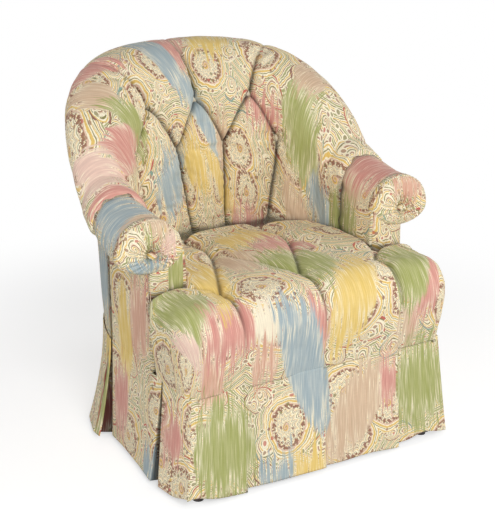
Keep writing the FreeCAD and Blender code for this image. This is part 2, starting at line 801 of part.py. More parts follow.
def spring_xs():
    first = -SPRING_SPACING * (SPRING_COUNT - 1) / 2.0
    return [first + SPRING_SPACING * index for index in range(SPRING_COUNT)]


def spring_ends(x):
    """Front and rear ends of the spring at x, over the middles of the two rails."""
    angle = math.degrees(math.asin(x / PANEL_FOOT_BACK))
    reach = panel_foot(angle) - PANEL_THICK - PANEL_GAP - RAIL_THICK / 2.0
    return FRONT_RAIL_Y + RAIL_THICK / 2.0, BARREL_Y + math.sqrt(reach ** 2 - x ** 2)


def spring(x):
    """Sinuous spring: half turns to the left and right, with a straight end in each clip."""
    front, rear = spring_ends(x)
    turns = 2 * int((rear - front - 2.0 * CLIP_LONG) / (4.0 * SPRING_LOOP))
    lead = (rear - front - turns * 2.0 * SPRING_LOOP) / 2.0
    edges = [Part.LineSegment(V(x, front, SPRING_Z), V(x, front + lead, SPRING_Z)).toShape()]
    y = front + lead
    for turn in range(turns):
        side = SPRING_LOOP if turn % 2 else -SPRING_LOOP
        end = V(x, y + 2.0 * SPRING_LOOP, SPRING_Z)
        edges.append(Part.Arc(V(x, y, SPRING_Z), V(x + side, y + SPRING_LOOP, SPRING_Z), end).toShape())
        y += 2.0 * SPRING_LOOP
    edges.append(Part.LineSegment(V(x, y, SPRING_Z), V(x, rear, SPRING_Z)).toShape())
    ring = Part.Wire(Part.Circle(V(x, front, SPRING_Z), V(0, 1, 0), SPRING_WIRE).toShape())
    return Part.Wire(edges).makePipeShell([ring], True, False, 2)


def spring_clips():
    """Clips on the rails that hold the ends of the springs."""
    solids = []
    for x in spring_xs():
        front, rear = spring_ends(x)
        for y in (front, rear):
            low = (x - CLIP_WIDE / 2.0, y - CLIP_LONG / 2.0, RAIL_TOP)
            high = (x + CLIP_WIDE / 2.0, y + CLIP_LONG / 2.0, RAIL_TOP + CLIP_TALL)
            bore = rod((x, y - CLIP_LONG, SPRING_Z), (0, 1, 0), SPRING_WIRE + DOWEL_FIT, 2.0 * CLIP_LONG)
            solids.append(box(low, high).cut(bore))
    return solids


def deck_shape(half_x, front_y, reach, low, thick):
    """Flat sheet with a straight front and a rounded rear, for the deck and the dust cover."""
    centre = V(0, BARREL_Y, low)
    quarter = math.sqrt(0.5)
    left_side = [V(-half_x, BARREL_Y, low), V(-half_x, front_y, low)]
    corners = left_side + [V(half_x, front_y, low), V(half_x, BARREL_Y, low)]
    edges = [Part.LineSegment(a, b).toShape() for a, b in zip(corners, corners[1:])]
    rear = centre + V(0, reach, 0)
    right = centre + V(half_x * quarter, reach * quarter, 0)
    left = centre + V(-half_x * quarter, reach * quarter, 0)
    edges.append(Part.Arc(corners[-1], right, rear).toShape())
    edges.append(Part.Arc(rear, left, corners[0]).toShape())
    return Part.Face(Part.Wire(edges)).extrude(V(0, 0, thick))


def seat_burlap():
    reach = panel_foot(0) - PANEL_THICK - PANEL_GAP - RAIL_THICK - DECK_SIDE_GAP
    return deck_shape(DECK_X, FRONT_RAIL_Y, reach, RAIL_TOP + CLIP_TALL + FIT, BURLAP_THICK)


def deck_pad():
    low = RAIL_TOP + CLIP_TALL + BURLAP_THICK + 2.0 * FIT
    reach = panel_foot(0) - PANEL_THICK - PANEL_GAP - RAIL_THICK - DECK_SIDE_GAP
    return deck_shape(DECK_X, FRONT_RAIL_Y, reach, low, SEAT_BOTTOM - FIT - low)


def webbing(angle):
    """Strip of webbing stretched up the inside of the back frame."""
    half = WEBBING_WIDE / 2.0
    wires = []
    for height in (PAD_BOTTOM, crest_level(angle) - WEBBING_DROP):
        face = webbing_face(angle, height)
        if angle != 0:
            face = face + WEBBING_SIDE_SNUG
        corners = [(face, -half, 0), (face + WEBBING_THICK, -half, 0),
                   (face + WEBBING_THICK, half, 0), (face, half, 0)]
        wires.append(outline(corners, lambda r, along, level=height: polar(angle, r, level, along)))
    return loft(wires)


def dust_cover():
    low = RAIL_BOTTOM - FIT - DUST_COVER_THICK
    reach = panel_foot(0) - PANEL_THICK - PANEL_GAP - FIT
    sheet = deck_shape(FRAME_OUTER_X - FIT, FRONT_RAIL_Y + FIT, reach, low, DUST_COVER_THICK)
    size = LEG_TOP + 2.0 * FIT
    holes = [leg_block(angle, place, size, size, 0.0, RAIL_TOP) for angle, place in leg_places()]
    return drilled(sheet, holes)


# Skirt

def cloth_strip(top, hem):
    """Thin hanging cloth between a path at the seam and a path at the hem."""
    def ring(path):
        outer = []
        for index, (x, y) in enumerate(path):
            before = path[max(index - 1, 0)]
            after = path[min(index + 1, len(path) - 1)]
            dx = after[0] - before[0]
            dy = after[1] - before[1]
            length = math.hypot(dx, dy)
            outer.append((x + SKIRT_THICK * dy / length, y - SKIRT_THICK * dx / length))
        return list(path) + outer[::-1]
    wires = []
    for path, height in ((hem, SKIRT_GROUND), (top, SKIRT_TOP)):
        points = [V(x, y, height) for x, y in ring(path)]
        wires.append(Part.makePolygon(points + points[:1]))
    return loft(wires)


def front_skirt():
    """Four panels; the right edge of each steps out in front of the next."""
    def path(half, y, step):
        points = [(-half, y)]
        for x in (-SEAT_FRONT_ROW_X, 0.0, SEAT_FRONT_ROW_X):
            points += [(x - PLEAT_TURN, y - step), (x + PLEAT_TURN, y + step)]
        return points + [(half, y)]
    half = PANEL_FOOT_SIDE - SKIRT_THICK - FIT
    back_face = SEAT_FRONT_Y + SKIRT_THICK
    top = path(half, back_face, PLEAT_STEP_TOP)
    return cloth_strip(top, path(half + CORNER_FLARE, back_face - FRONT_FLARE, PLEAT_STEP_HEM))


def side_skirt():
    """Two panels that meet at an inverted pleat behind the front corner."""
    def path(front_x, front_y, middle_x, deep):
        low = SIDE_PLEAT_Y - SIDE_PLEAT_GAP / 2.0
        high = SIDE_PLEAT_Y + SIDE_PLEAT_GAP / 2.0
        return [(front_x, front_y), (middle_x, low - PLEAT_TURN), (middle_x - deep, low),
                (middle_x - deep, high), (middle_x, high + PLEAT_TURN), (inner, BARREL_Y - FIT)]
    inner = PANEL_FOOT_SIDE - SKIRT_THICK
    front_y = SEAT_FRONT_Y + SKIRT_THICK + FIT
    top = path(inner, front_y, inner, PLEAT_STEP_TOP)
    hem = path(inner + CORNER_FLARE, front_y - FRONT_FLARE, inner + SKIRT_FLARE, SIDE_PLEAT_DEEP)
    return cloth_strip(top, hem)


def back_skirt():
    """Skirt round the back, with a flared fold behind each arm."""
    top = []
    hem = []
    for angle in reversed(BARREL_ANGLES):
        foot = panel_foot(angle) - SKIRT_THICK
        fold = BACK_PLEAT_DEEP if abs(angle) == WING_POST_ANGLE else 0.0
        top_point = polar(angle, foot, 0)
        hem_point = polar(angle, foot + SKIRT_FLARE + fold, 0)
        top.append((top_point.x, top_point.y))
        hem.append((hem_point.x, hem_point.y))
    return cloth_strip(top, hem)


# All pieces, each written under its own name

def side_pieces(name, shape):
    return {"right_" + name: [shape], "left_" + name: [mirrored(shape)]}


def pieces():
    made = {
        "front_seat_rail": [front_rail()],
        "rear_seat_rail": [rear_rail()],
        "corner_blocks": both_sides(drilled(corner_block(), block_screws(DOWEL_FIT))),
        "corner_block_screws": block_screws(0.0),
        "frame_dowels": dowels(0.0),
        "back_top_rail": [top_rail()],
        "back_tacking_rail": [back_tack_rail()],
        "back_uprights": both_sides(back_post(BACK_POST_ANGLE)),
        "leg_glides": glides(),
        "leg_bolts": leg_bolts(0.0),
        "seat_springs": [spring(x) for x in spring_xs()],
        "spring_clips": spring_clips(),
        "seat_burlap": [seat_burlap()],
        "deck_pad": [deck_pad()],
        "back_webbing": [webbing(angle) for angle in WEBBING_ANGLES],
        "dust_cover": [dust_cover()],
        "seat_foam": [foam_block(0.0)],
        "seat_cover": [seat_cover()],
        "seat_buttons": seat_button_solids(0.0),
        "inside_back": [back_cover()],
        "back_buttons": back_button_solids(0.0),
        "outside_back": [outside_back()],
        "front_skirt": [front_skirt()],
        "back_skirt": [back_skirt()],
        "arm_rosettes": both_sides(rosette()),
    }
    for name, (angle, place) in zip(("front_left", "front_right", "rear_left", "rear_right"), leg_places()):
        made[name + "_leg"] = [leg(angle, place)]
    made.update(side_pieces("seat_rail", side_rail()))
    made.update(side_pieces("wing_post", back_post(WING_POST_ANGLE)))
    made.update(side_pieces("arm_post", arm_post()))
    made.update(side_pieces("arm_rail", arm_rail()))
    made.update(side_pieces("arm_tacking_rail", arm_tack_rail()))
    made.update(side_pieces("arm_cover", arm_cover()))
    made.update(side_pieces("arm_facing", arm_facing()))
    made.update(side_pieces("arm_gather", arm_gather()))
    made.update(side_pieces("outside_arm", outside_arm()))
    made.update(side_pieces("skirt", side_skirt()))
    return made


def main():
    os.makedirs("parts", exist_ok=True)
    for name, solids in pieces().items():
        shape = solids[0] if len(solids) == 1 else Part.makeCompound(solids)
        shape.exportStep("parts/" + name + ".step")
        print(name, len(shape.Solids), round(shape.Volume), shape.isValid())


main()
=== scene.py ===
"""Club chair: tufted covers, rolled arms with gathered ends, a pleated skirt and print cloth over the frame.

Forms are worked out in millimetres and stored in metres. The chair faces -Y.
The back sweeps round an upright axis at BARREL_Y: 0 degrees is its middle, 90 is where an arm starts.
Every cover carries its own cloth coordinates, in metres along the weft and the warp, which the print follows.
"""
import bpy
import json
import math
import numpy as np
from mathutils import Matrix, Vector


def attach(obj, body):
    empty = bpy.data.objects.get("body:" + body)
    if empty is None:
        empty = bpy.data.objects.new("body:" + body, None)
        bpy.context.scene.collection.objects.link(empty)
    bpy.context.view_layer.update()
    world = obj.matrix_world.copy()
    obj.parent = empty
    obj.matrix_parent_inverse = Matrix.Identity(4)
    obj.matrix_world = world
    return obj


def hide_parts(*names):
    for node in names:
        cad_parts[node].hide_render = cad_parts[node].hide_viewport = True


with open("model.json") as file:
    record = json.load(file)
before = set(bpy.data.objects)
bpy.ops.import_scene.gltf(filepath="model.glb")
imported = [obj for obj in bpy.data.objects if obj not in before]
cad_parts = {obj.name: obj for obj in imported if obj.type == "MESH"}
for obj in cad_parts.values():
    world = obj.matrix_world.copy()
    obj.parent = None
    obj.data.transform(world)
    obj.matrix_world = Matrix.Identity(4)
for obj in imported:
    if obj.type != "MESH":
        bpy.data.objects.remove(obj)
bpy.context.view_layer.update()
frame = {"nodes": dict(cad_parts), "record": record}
MILLIMETRE = 0.001
TURN = 2 * math.pi

# Barrel back, in millimetres
BARREL_Y = 20.5
HEIGHT = 854.0
BACK_REACH = 369.0
WING_REACH = 386.0
WING_END_HEIGHT = 636.0
CREST_ROLL_BACK = 40.0
CREST_ROLL_WING = 61.0
WING_INSIDE = 264.0
PAD_LOW = 300.0
COVER_SWELL = 14.0
WING_SWELL = 8.0
WING_FLATTEN = 0.4
WING_FORE = np.arange(5.0, 67.0, 4.0)
FACE_ROWS = 116
OVER_ROWS = 48
ROLL_ROWS = 38
CREST_ROW = FACE_ROWS + OVER_ROWS
BACK_BUTTONS_HIGH = [(-42.8, 742.0), (0.0, 742.0), (42.8, 742.0)]
BACK_BUTTONS_LOW = [(-60.0, 625.0), (-24.4, 625.0), (24.4, 625.0), (60.0, 625.0)]

# Arms
ARM_FRONT_Y = -185.5
ARM_REAR_Y = -22.0
WING_FRONT_Y = BARREL_Y - WING_FORE[-1]
ARM_INSIDE = 248.0
ARM_ROLL = 77.0
ARM_LEVEL = 515.0
ARM_DROP = 42.0
GATHER_PLEATS = 23
FACING_FOLD_X = 283.0
ARM_CENTRE = ARM_INSIDE + ARM_ROLL
PANEL_X = 328.0

# Seat
WAIST = 246.0
SEAT_TOP = 446.0
SEAT_BUTTONS_FRONT = [(-202.0, -267.5), (0.0, -267.5), (202.0, -267.5)]
SEAT_BUTTONS_REAR = [(-104.0, -51.5), (104.0, -51.5)]

# Skirt; the hem is lifted at two places, before the front legs
HEM = 12.0
HEM_LIFTS = [(-331.0, -371.0), (279.0, -379.0)]
SKIRT_CLOTH = 2.2
SKIRT_TOP = WAIST + 5.0
SEAT_CLOTH_FRONT = 541.0

# Stuffing of the tufted covers
CREASE = 4.5
GRIP = 9.0
FOLD_LINE = 3.5
BACK_PRESSURE = 4.0
BACK_PUFF = 14.0
SEAT_PRESSURE = 4.0
SEAT_PUFF = 16.0
BUTTON_PIT = 10.0
BUTTON_WRINKLE = 1.3
SIMULATED_FRAMES = 18
COARSE_STEP = 3
SOFT_SHARE = 0.55
TIGHT_SHARE = 0.45
STUFFED_CLOTH = {
    "quality": 6, "mass": 0.3, "tension_stiffness": 12.0, "compression_stiffness": 6.0,
    "shear_stiffness": 4.0, "bending_stiffness": 0.6, "shrink_min": -0.03, "use_pressure": True,
    "vertex_group_mass": "sewn",
}

# Thickness of the covers
BACK_COVER = 9.0
SEAT_COVER = 8.0
ARM_COVER = 10.0
END_COVER = 5.0
KNOT_COVER = 2.5
PANEL_COVER = 3.0


def ripple(x, y, length, seed):
    """Gentle uneven waves of about that length, between -1 and 1."""
    waves = np.random.default_rng(seed)
    total = np.zeros(np.broadcast(x, y).shape)
    for _ in range(5):
        heading = waves.uniform(0, math.pi)
        stretch = waves.uniform(0.7, 1.5) / length
        phase = waves.uniform(0, TURN)
        along = x * math.cos(heading) + y * math.sin(heading)
        total = total + np.sin(TURN * stretch * along + phase)
    return total / 3.2


def unit(value):
    return np.clip(value, 0.0, 1.0)


def ease(value):
    part = unit(value)
    return part * part * (3.0 - 2.0 * part)


def grid(*parts):
    """Points from their coordinates, each spread over the whole grid."""
    return np.stack(np.broadcast_arrays(*parts), axis=-1)


def path_length(first, second):
    """Distance travelled down a grid from its first row, by two of its coordinates."""
    step = np.hypot(np.diff(first, axis=0), np.diff(second, axis=0))
    return np.concatenate([np.zeros_like(step[:1]), np.cumsum(step, axis=0)])


def grid_normals(points, ring=False):
    if ring:
        wrapped = np.concatenate([points[:, -1:], points, points[:, :1]], axis=1)
        across = np.gradient(wrapped, axis=1)[:, 1:-1]
    else:
        across = np.gradient(points, axis=1)
    normals = np.cross(across, np.gradient(points, axis=0))
    return normals / np.maximum(np.linalg.norm(normals, axis=2, keepdims=True), 1e-6)


def facing_front(points, row):
    """The ring-shaped grid, turned over if its outside would face back."""
    if grid_normals(points, True)[row, 0, 1] > 0:
        return points[:, ::-1]
    return points


def quads_of(index):
    return np.stack([index[:-1, :-1], index[:-1, 1:], index[1:, 1:], index[1:, :-1]], axis=2)


def in_scene(name, mesh):
    piece = bpy.data.objects.new(name, mesh)
    bpy.context.scene.collection.objects.link(piece)
    return piece


def mesh_piece(name, points, cloth, faces, crease=None):
    mesh = bpy.data.meshes.new(name)
    mesh.from_pydata((points * MILLIMETRE).tolist(), [], faces.tolist())
    corners = np.empty(len(mesh.loops), np.int32)
    mesh.loops.foreach_get("vertex_index", corners)
    layer = mesh.uv_layers.new(name="cloth")
    layer.data.foreach_set("uv", (cloth[corners] * MILLIMETRE).astype(np.float32).ravel())
    # The crease values are painted shade, kept as an attribute for the print cloth.
    if crease is not None:
        shade = mesh.attributes.new("crease", "FLOAT", "POINT")
        shade.data.foreach_set("value", crease.astype(np.float32))
    mesh.polygons.foreach_set("use_smooth", np.ones(len(mesh.polygons), bool))
    mesh.update()
    return in_scene(name, mesh)


def shell(name, points, cloth, thickness, ring=False, keep=None, crease=None):
    """Closed cover: the grid outside, a copy of it that far inside, and a rim round the border."""
    rows, columns = points.shape[:2]
    inner = points - grid_normals(points, ring) * thickness
    count = rows * columns
    index = np.arange(count).reshape(rows, columns)
    if ring:
        index = np.concatenate([index, index[:, :1]], axis=1)
    quads = quads_of(index)
    outer = quads.reshape(-1, 4) if keep is None else quads[keep]
    edges = np.concatenate([outer[:, [number, (number + 1) % 4]] for number in range(4)])
    forward = edges[:, 0] * count + edges[:, 1]
    backward = edges[:, 1] * count + edges[:, 0]
    border = edges[~np.isin(forward, backward)]
    rim = np.concatenate([border[:, ::-1], border + count], axis=1)
    faces = np.concatenate([outer, outer[:, ::-1] + count, rim])
    used = np.unique(faces)
    place = np.zeros(2 * count, np.int64)
    place[used] = np.arange(len(used))
    all_points = np.concatenate([points.reshape(-1, 3), inner.reshape(-1, 3)])[used]
    all_cloth = np.tile(cloth.reshape(-1, 2), (2, 1))[used]
    if crease is not None:
        crease = np.tile(np.broadcast_to(crease, (rows, columns)).ravel(), 2)[used]
    return mesh_piece(name, all_points, all_cloth, place[faces], crease)


def from_segment(x, y, start, end):
    """Distance of each point to a straight fold, how far along it lies, and which side it is on."""
    along_x = end[0] - start[0]
    along_y = end[1] - start[1]
    length = math.hypot(along_x, along_y)
    share = ((x - start[0]) * along_x + (y - start[1]) * along_y) / length ** 2
    side = ((x - start[0]) * along_y - (y - start[1]) * along_x) / length
    held = np.clip(share, 0.0, 1.0)
    away = np.hypot(x - start[0] - held * along_x, y - start[1] - held * along_y)
    return away, held, side


def fold_line(x, y, start, end, depth_start, depth_middle, depth_end, width):
    """Tucked fold: distance of each point to it, its depth there, and its width, less on the covered side."""
    away, share, side = from_segment(x, y, start, end)
    bow = 4.0 * share * (1.0 - share)
    depth = (depth_start * (1.0 - share) + depth_end * share) * (1.0 - bow) + depth_middle * bow
    return away, depth, np.where(side > 0, width, width * 0.72)


def tail_depth(beyond, depth, depth_at_button, fade):
    """Depth of a fold that runs on beyond a button and soon ends on its other side."""
    return np.where(beyond > 0, depth, depth_at_button * np.exp(beyond / fade))


def valleys(folds):
    """Soft depth, tight crease, grip of the stitches and thin shaded line over a set of folds."""
    soft, tight, grip, line = [], [], [], []
    for away, depth, width in folds:
        soft.append(SOFT_SHARE * depth * np.exp(-away / width))
        tight.append(TIGHT_SHARE * depth * np.exp(-away / CREASE))
        grip.append(unit(depth / 18.0) * np.exp(-(away / GRIP) ** 2))
        line.append(unit(depth / 30.0) * np.exp(-(away / FOLD_LINE) ** 2))
    return [np.max(part, axis=0) for part in (soft, tight, grip, line)]


def button_dents(x, y, buttons, width, seed):
    """Pits under the buttons, with the small wrinkles that run out from each."""
    dents = 0.0
    for number, centre in enumerate(buttons):
        away = np.hypot(x - centre[0], y - centre[1])
        turn = np.arctan2(y - centre[1], x - centre[0])
        start = np.random.default_rng(seed + number).uniform(0, 6.28)
        spread = np.sin(9.0 * turn + start) + 0.7 * np.sin(14.0 * turn + 2.0 * start)
        dents = dents + BUTTON_PIT * np.exp(-(away / width) ** 1.6)
        dents = dents + BUTTON_WRINKLE * spread * np.exp(-np.abs(away - 20.0) / 18.0)
    return dents


def puff_out(name, points, held, pressure, cap):
    """How far a cloth sewn down where it is held moves when stuffing presses it out, by cloth simulation."""
    tall, wide = points.shape[:2]
    rows = np.unique(np.append(np.arange(0, tall, COARSE_STEP), tall - 1))
    columns = np.unique(np.append(np.arange(0, wide, COARSE_STEP), wide - 1))
    coarse = points[np.ix_(rows, columns)]
    count = len(rows) * len(columns)
    quads = quads_of(np.arange(count).reshape(coarse.shape[:2])).reshape(-1, 4)
    piece = mesh_piece(name, coarse.reshape(-1, 3), np.zeros((count, 2)), quads)
    sewn = piece.vertex_groups.new(name="sewn")
    for number, weight in enumerate(held[np.ix_(rows, columns)].ravel()):
        if weight > 0.02:
            sewn.add([number], min(1.0, float(weight)), "REPLACE")
    cloth = piece.modifiers.new("stuffed", "CLOTH").settings
    for key, value in STUFFED_CLOTH.items():
        setattr(cloth, key, value)
    cloth.uniform_pressure_force = pressure
    cloth.effector_weights.gravity = 0.0
    for number in range(1, SIMULATED_FRAMES + 1):
        bpy.context.scene.frame_set(number)
    ready = piece.evaluated_get(bpy.context.evaluated_depsgraph_get())
    after = np.empty(count * 3, np.float32)
    ready.data.vertices.foreach_get("co", after)
    bpy.context.scene.frame_set(1)
    bpy.data.objects.remove(piece)
    moved = after.reshape(coarse.shape) / MILLIMETRE - coarse
    far = np.linalg.norm(moved, axis=2, keepdims=True)
    moved = moved * cap * np.tanh(far / cap) / np.maximum(far, 1e-6)
    half_fine = np.empty((len(rows), wide, 3))
    fine = np.empty(points.shape)
    for axis in range(3):
        for row in range(len(rows)):
            half_fine[row, :, axis] = np.interp(np.arange(wide), columns, moved[row, :, axis])
        for column in range(wide):
            fine[:, column, axis] = np.interp(np.arange(tall), rows, half_fine[:, column, axis])
    return fine


def stuffed_cover(name, points, soft, tight, sewn, held, pressure, cap, fade=1.0):
    """Smooth grid with its soft valleys, pressed out between the stitches, then its tight creases."""
    normals = grid_normals(points)
    base = points - normals * (soft * held)[..., None]
    moved = puff_out(name, base, sewn, pressure, cap) * fade
    return base + moved - normals * (tight * held)[..., None], normals


# Curves of the barrel back

def sweep(angle):
    return np.abs(np.sin(np.radians(angle))) ** 1.28


def crest_top(angle):
    return HEIGHT - (HEIGHT - WING_END_HEIGHT) * (np.abs(angle) / 90.0) ** 3.2


def crest_roll(angle):
    return CREST_ROLL_BACK + (CREST_ROLL_WING - CREST_ROLL_BACK) * (angle / 90.0) ** 2


def crest_outer(angle):
    return BACK_REACH + (WING_REACH - BACK_REACH) * sweep(angle)


def panel_foot(angle):
    return 309.0 + 19.0 * (np.abs(angle) / 90.0) ** 6


def panel_head(angle):
    return 343.0 - 15.0 * sweep(angle)


def roll_drop(angle):
    """How far the roll of the crest hangs below its middle: it is flatter under the wings."""
    return crest_roll(angle) * (1.0 - WING_FLATTEN * sweep(angle))


def arm_profile(y):
    """Inside face, roll, level of the roll's middle, and drop below it, of a rolled arm at that depth."""
    share = np.clip((y - ARM_FRONT_Y) / (BARREL_Y - ARM_FRONT_Y), 0.0, 1.06)
    inside = ARM_INSIDE + (WING_INSIDE - ARM_INSIDE) * share
    roll = ARM_ROLL + (CREST_ROLL_WING - ARM_ROLL) * share
    level = ARM_LEVEL + (WING_END_HEIGHT - CREST_ROLL_WING - ARM_LEVEL) * share ** 2
    drop = ARM_DROP + (CREST_ROLL_WING * (1.0 - WING_FLATTEN) - ARM_DROP) * share
    return inside, roll, level, drop


def inside_radius(angle, height):
    lean = 181.5 + (height - 610.0) * 0.24 - BARREL_Y
    flat = lean / np.maximum(np.cos(np.radians(angle)), 0.02)
    return (flat ** -3.0 + WING_INSIDE ** -3.0) ** (-1.0 / 3.0)


def polar(angle, radius, height):
    turn = np.radians(angle)
    return grid(radius * np.sin(turn), BARREL_Y + radius * np.cos(turn), height)


def back_column(angle, fore):
    """Radius and height of the smooth cover in one column, from behind the seat over the crest."""
    top = crest_top(angle)
    roll = crest_roll(angle)
    middle = crest_outer(angle) - roll
    drop = roll_drop(angle)
    head = panel_head(angle)
    ahead = arm_profile(BARREL_Y - fore)
    if fore > 0:
        roll = ahead[1]
        middle = ahead[0] + roll
        top = ahead[2] + roll
        drop = ahead[3]

    def face_at(height):
        if fore > 0:
            return ahead[0] + 0.0 * height
        return inside_radius(angle, height)

    level = top - roll
    swell = WING_SWELL + (COVER_SWELL - WING_SWELL) * ease((84.0 - abs(angle)) / 20.0)
    bend = top - 1.05 * (middle - face_at(top - 120.0))
    rise = np.linspace(PAD_LOW, bend, FACE_ROWS + 1)[:-1]
    face = face_at(rise) - swell
    knee = face_at(bend) - swell
    share = np.linspace(0.0, 1.0, OVER_ROWS + 1)[:-1]
    first = (1 - share) ** 3
    second = 3 * share * (1 - share) ** 2
    third = 3 * share ** 2 * (1 - share)
    fourth = share ** 3
    shoulder = middle - 0.52 * (middle - knee)
    over = knee * first + (knee + 6.0) * second + shoulder * third + middle * fourth
    lift = bend * first + (bend + 0.56 * (top - bend)) * second + top * (third + fourth)
    turn = np.linspace(math.pi / 2, -math.acos((head - middle) / roll), ROLL_ROWS)
    bulge = np.sin(turn)
    radius = np.concatenate([face, over, middle + roll * np.cos(turn), [head - 10.0]])
    round_height = level + np.where(bulge > 0, roll, drop) * bulge
    height = np.concatenate([rise, lift, round_height, [round_height[-1] + 1.0]])
    return radius, height


# Inside back: a fold has a depth at its start, middle and end, and a width

BACK_FOLD = (34.0, 22.0, 34.0, 24.0)
BACK_DIAMONDS = ((0, 0), (0, 1), (1, 1), (1, 2), (2, 2), (2, 3))


def build_inside_back():
    turned = np.linspace(-90.0, 90.0, 341)
    angles = np.concatenate([np.full(len(WING_FORE), -90.0), turned, np.full(len(WING_FORE), 90.0)])
    fore = np.concatenate([WING_FORE[::-1], np.zeros(len(turned)), WING_FORE])
    radius, height = np.stack([back_column(*column) for column in zip(angles, fore)], axis=-1)
    points = polar(angles, radius, height)
    points[..., 1] -= fore
    length = path_length(radius, height)
    down = length[CREST_ROW] - length
    reference = inside_radius(angles, 680.0)
    arc_step = (reference[1:] + reference[:-1]) / 2 * np.radians(np.diff(angles)) + np.abs(np.diff(fore))
    arc = np.concatenate([[0.0], np.cumsum(arc_step)])
    arc = arc - arc[len(arc) // 2]
    across = arc + 0.0 * radius

    def button_place(angle, level):
        column = int(np.argmin(np.abs(angles - angle) + fore))
        inside = slice(0, CREST_ROW)
        return arc[column], float(np.interp(level, height[inside, column], down[inside, column])), column

    high = [button_place(*button) for button in BACK_BUTTONS_HIGH]
    low = [button_place(*button) for button in BACK_BUTTONS_LOW]
    folds = [fold_line(across, down, high[upper], low[lower], *BACK_FOLD) for upper, lower in BACK_DIAMONDS]
    for middle, level, _ in high:
        away = np.abs(across - middle) * radius / reference
        fade = ease((down + 30.0) / (level + 30.0))
        depth = tail_depth(level - down, 4.0 + 26.0 * fade, 30.0, 6.0)
        folds.append((away, depth * ease((down + 75.0) / 60.0), 17.0))
    for middle, level, _ in low:
        away = np.abs(across - middle - 3.0 * ripple(down, 0.0, 150.0, 8))
        folds.append((away, tail_depth(down - level, 32.0, 32.0, 6.0), 20.0))
    soft, tight, grip, line = valleys(folds)
    tight = tight + button_dents(across, down, high + low, width=13.0, seed=20)
    tight = tight + 1.2 * ripple(across, down, 120.0, 3) + 0.6 * ripple(across, down, 36.0, 4)
    wing = unit(fore / WING_FORE[-1])[None, :]
    tight = tight - 4.0 * ease(wing * 3.0) + 10.0 * ease((wing - 0.82) / 0.18)
    rows = np.arange(len(radius))
    held = unit(np.minimum(rows, rows[::-1]) / 6.0)[:, None]
    sewn = np.maximum(grip, np.maximum(1.0 - held, ease((wing - 0.3) / 0.3)))
    fade = (0.12 + 0.88 * ease((down + 5.0) / 70.0))[..., None]
    cover, normals = stuffed_cover(
        "back_cloth_at_work", points, soft, tight, sewn, held, BACK_PRESSURE, BACK_PUFF, fade)
    cloth = grid(np.radians(angles) * 300.0 + np.sign(angles) * fore, -down)
    seats = []
    for _, level, column in high + low:
        row = int(np.argmin(np.abs(down[:CREST_ROW, column] - level)))
        seats.append((cover[row, column], normals[row, column]))
    # Painted shade: the fold lines, the front edge of each wing where the arm meets it, and a band along the
    # seat joint.
    edge = ease((wing - 0.84) / 0.16) * ease((down - 70.0) / 60.0)
    shade = np.maximum(np.maximum(line, 0.9 * edge), seat_shade(cover))
    return shell("inside_back_cover", cover, cloth, BACK_COVER, crease=shade), seats


# Seat: a flat T on the unrolled cloth; a border that wraps down has a reach, a drop and a length of cloth

EAR_FLAT_X = 298.0
EAR_FLAT_FRONT = -311.0
EAR_FLAT_REAR = -219.0
EAR_SIDE_REACH = 48.0
EAR_SIDE_CLOTH = 104.0
EAR_FRONT = (66.0, 80.0, 115.0)
TUCK = (18.0, 32.0, 40.0)
SEAT_FLAT_X = 229.0
SEAT_FLAT_REAR = 86.0
NOSE_DRAW = 0.28
SEAT_STEP = 3.6
SEAT_HALF_WEFT = 504.0
SEAT_FOLD = (32.0, 20.0, 32.0, 26.0)
SEAT_DIAMONDS = ((0, 0), (1, 0), (1, 1), (2, 1))
EAR_FOLD = (30.0, 24.0, 22.0, 20.0)
EAR_FOLD_END = (246.0, -206.0)


def seat_crown(x, y):
    fall = 18.0 * (np.abs(x) / 346.0) ** 2
    rear = 10.0 * ease((y + 60.0) / 130.0)
    return SEAT_TOP - fall - rear + 6.0


def seat_shade(points):
    """Shade on a piece that goes down behind the seat, in a narrow band along the joint."""
    above = points[..., 2] - seat_crown(points[..., 0], points[..., 1]) + 10.0
    return 0.85 * np.exp(-np.maximum(above, 0.0) / 6.0 - np.maximum(-above - 12.0, 0.0) / 10.0)


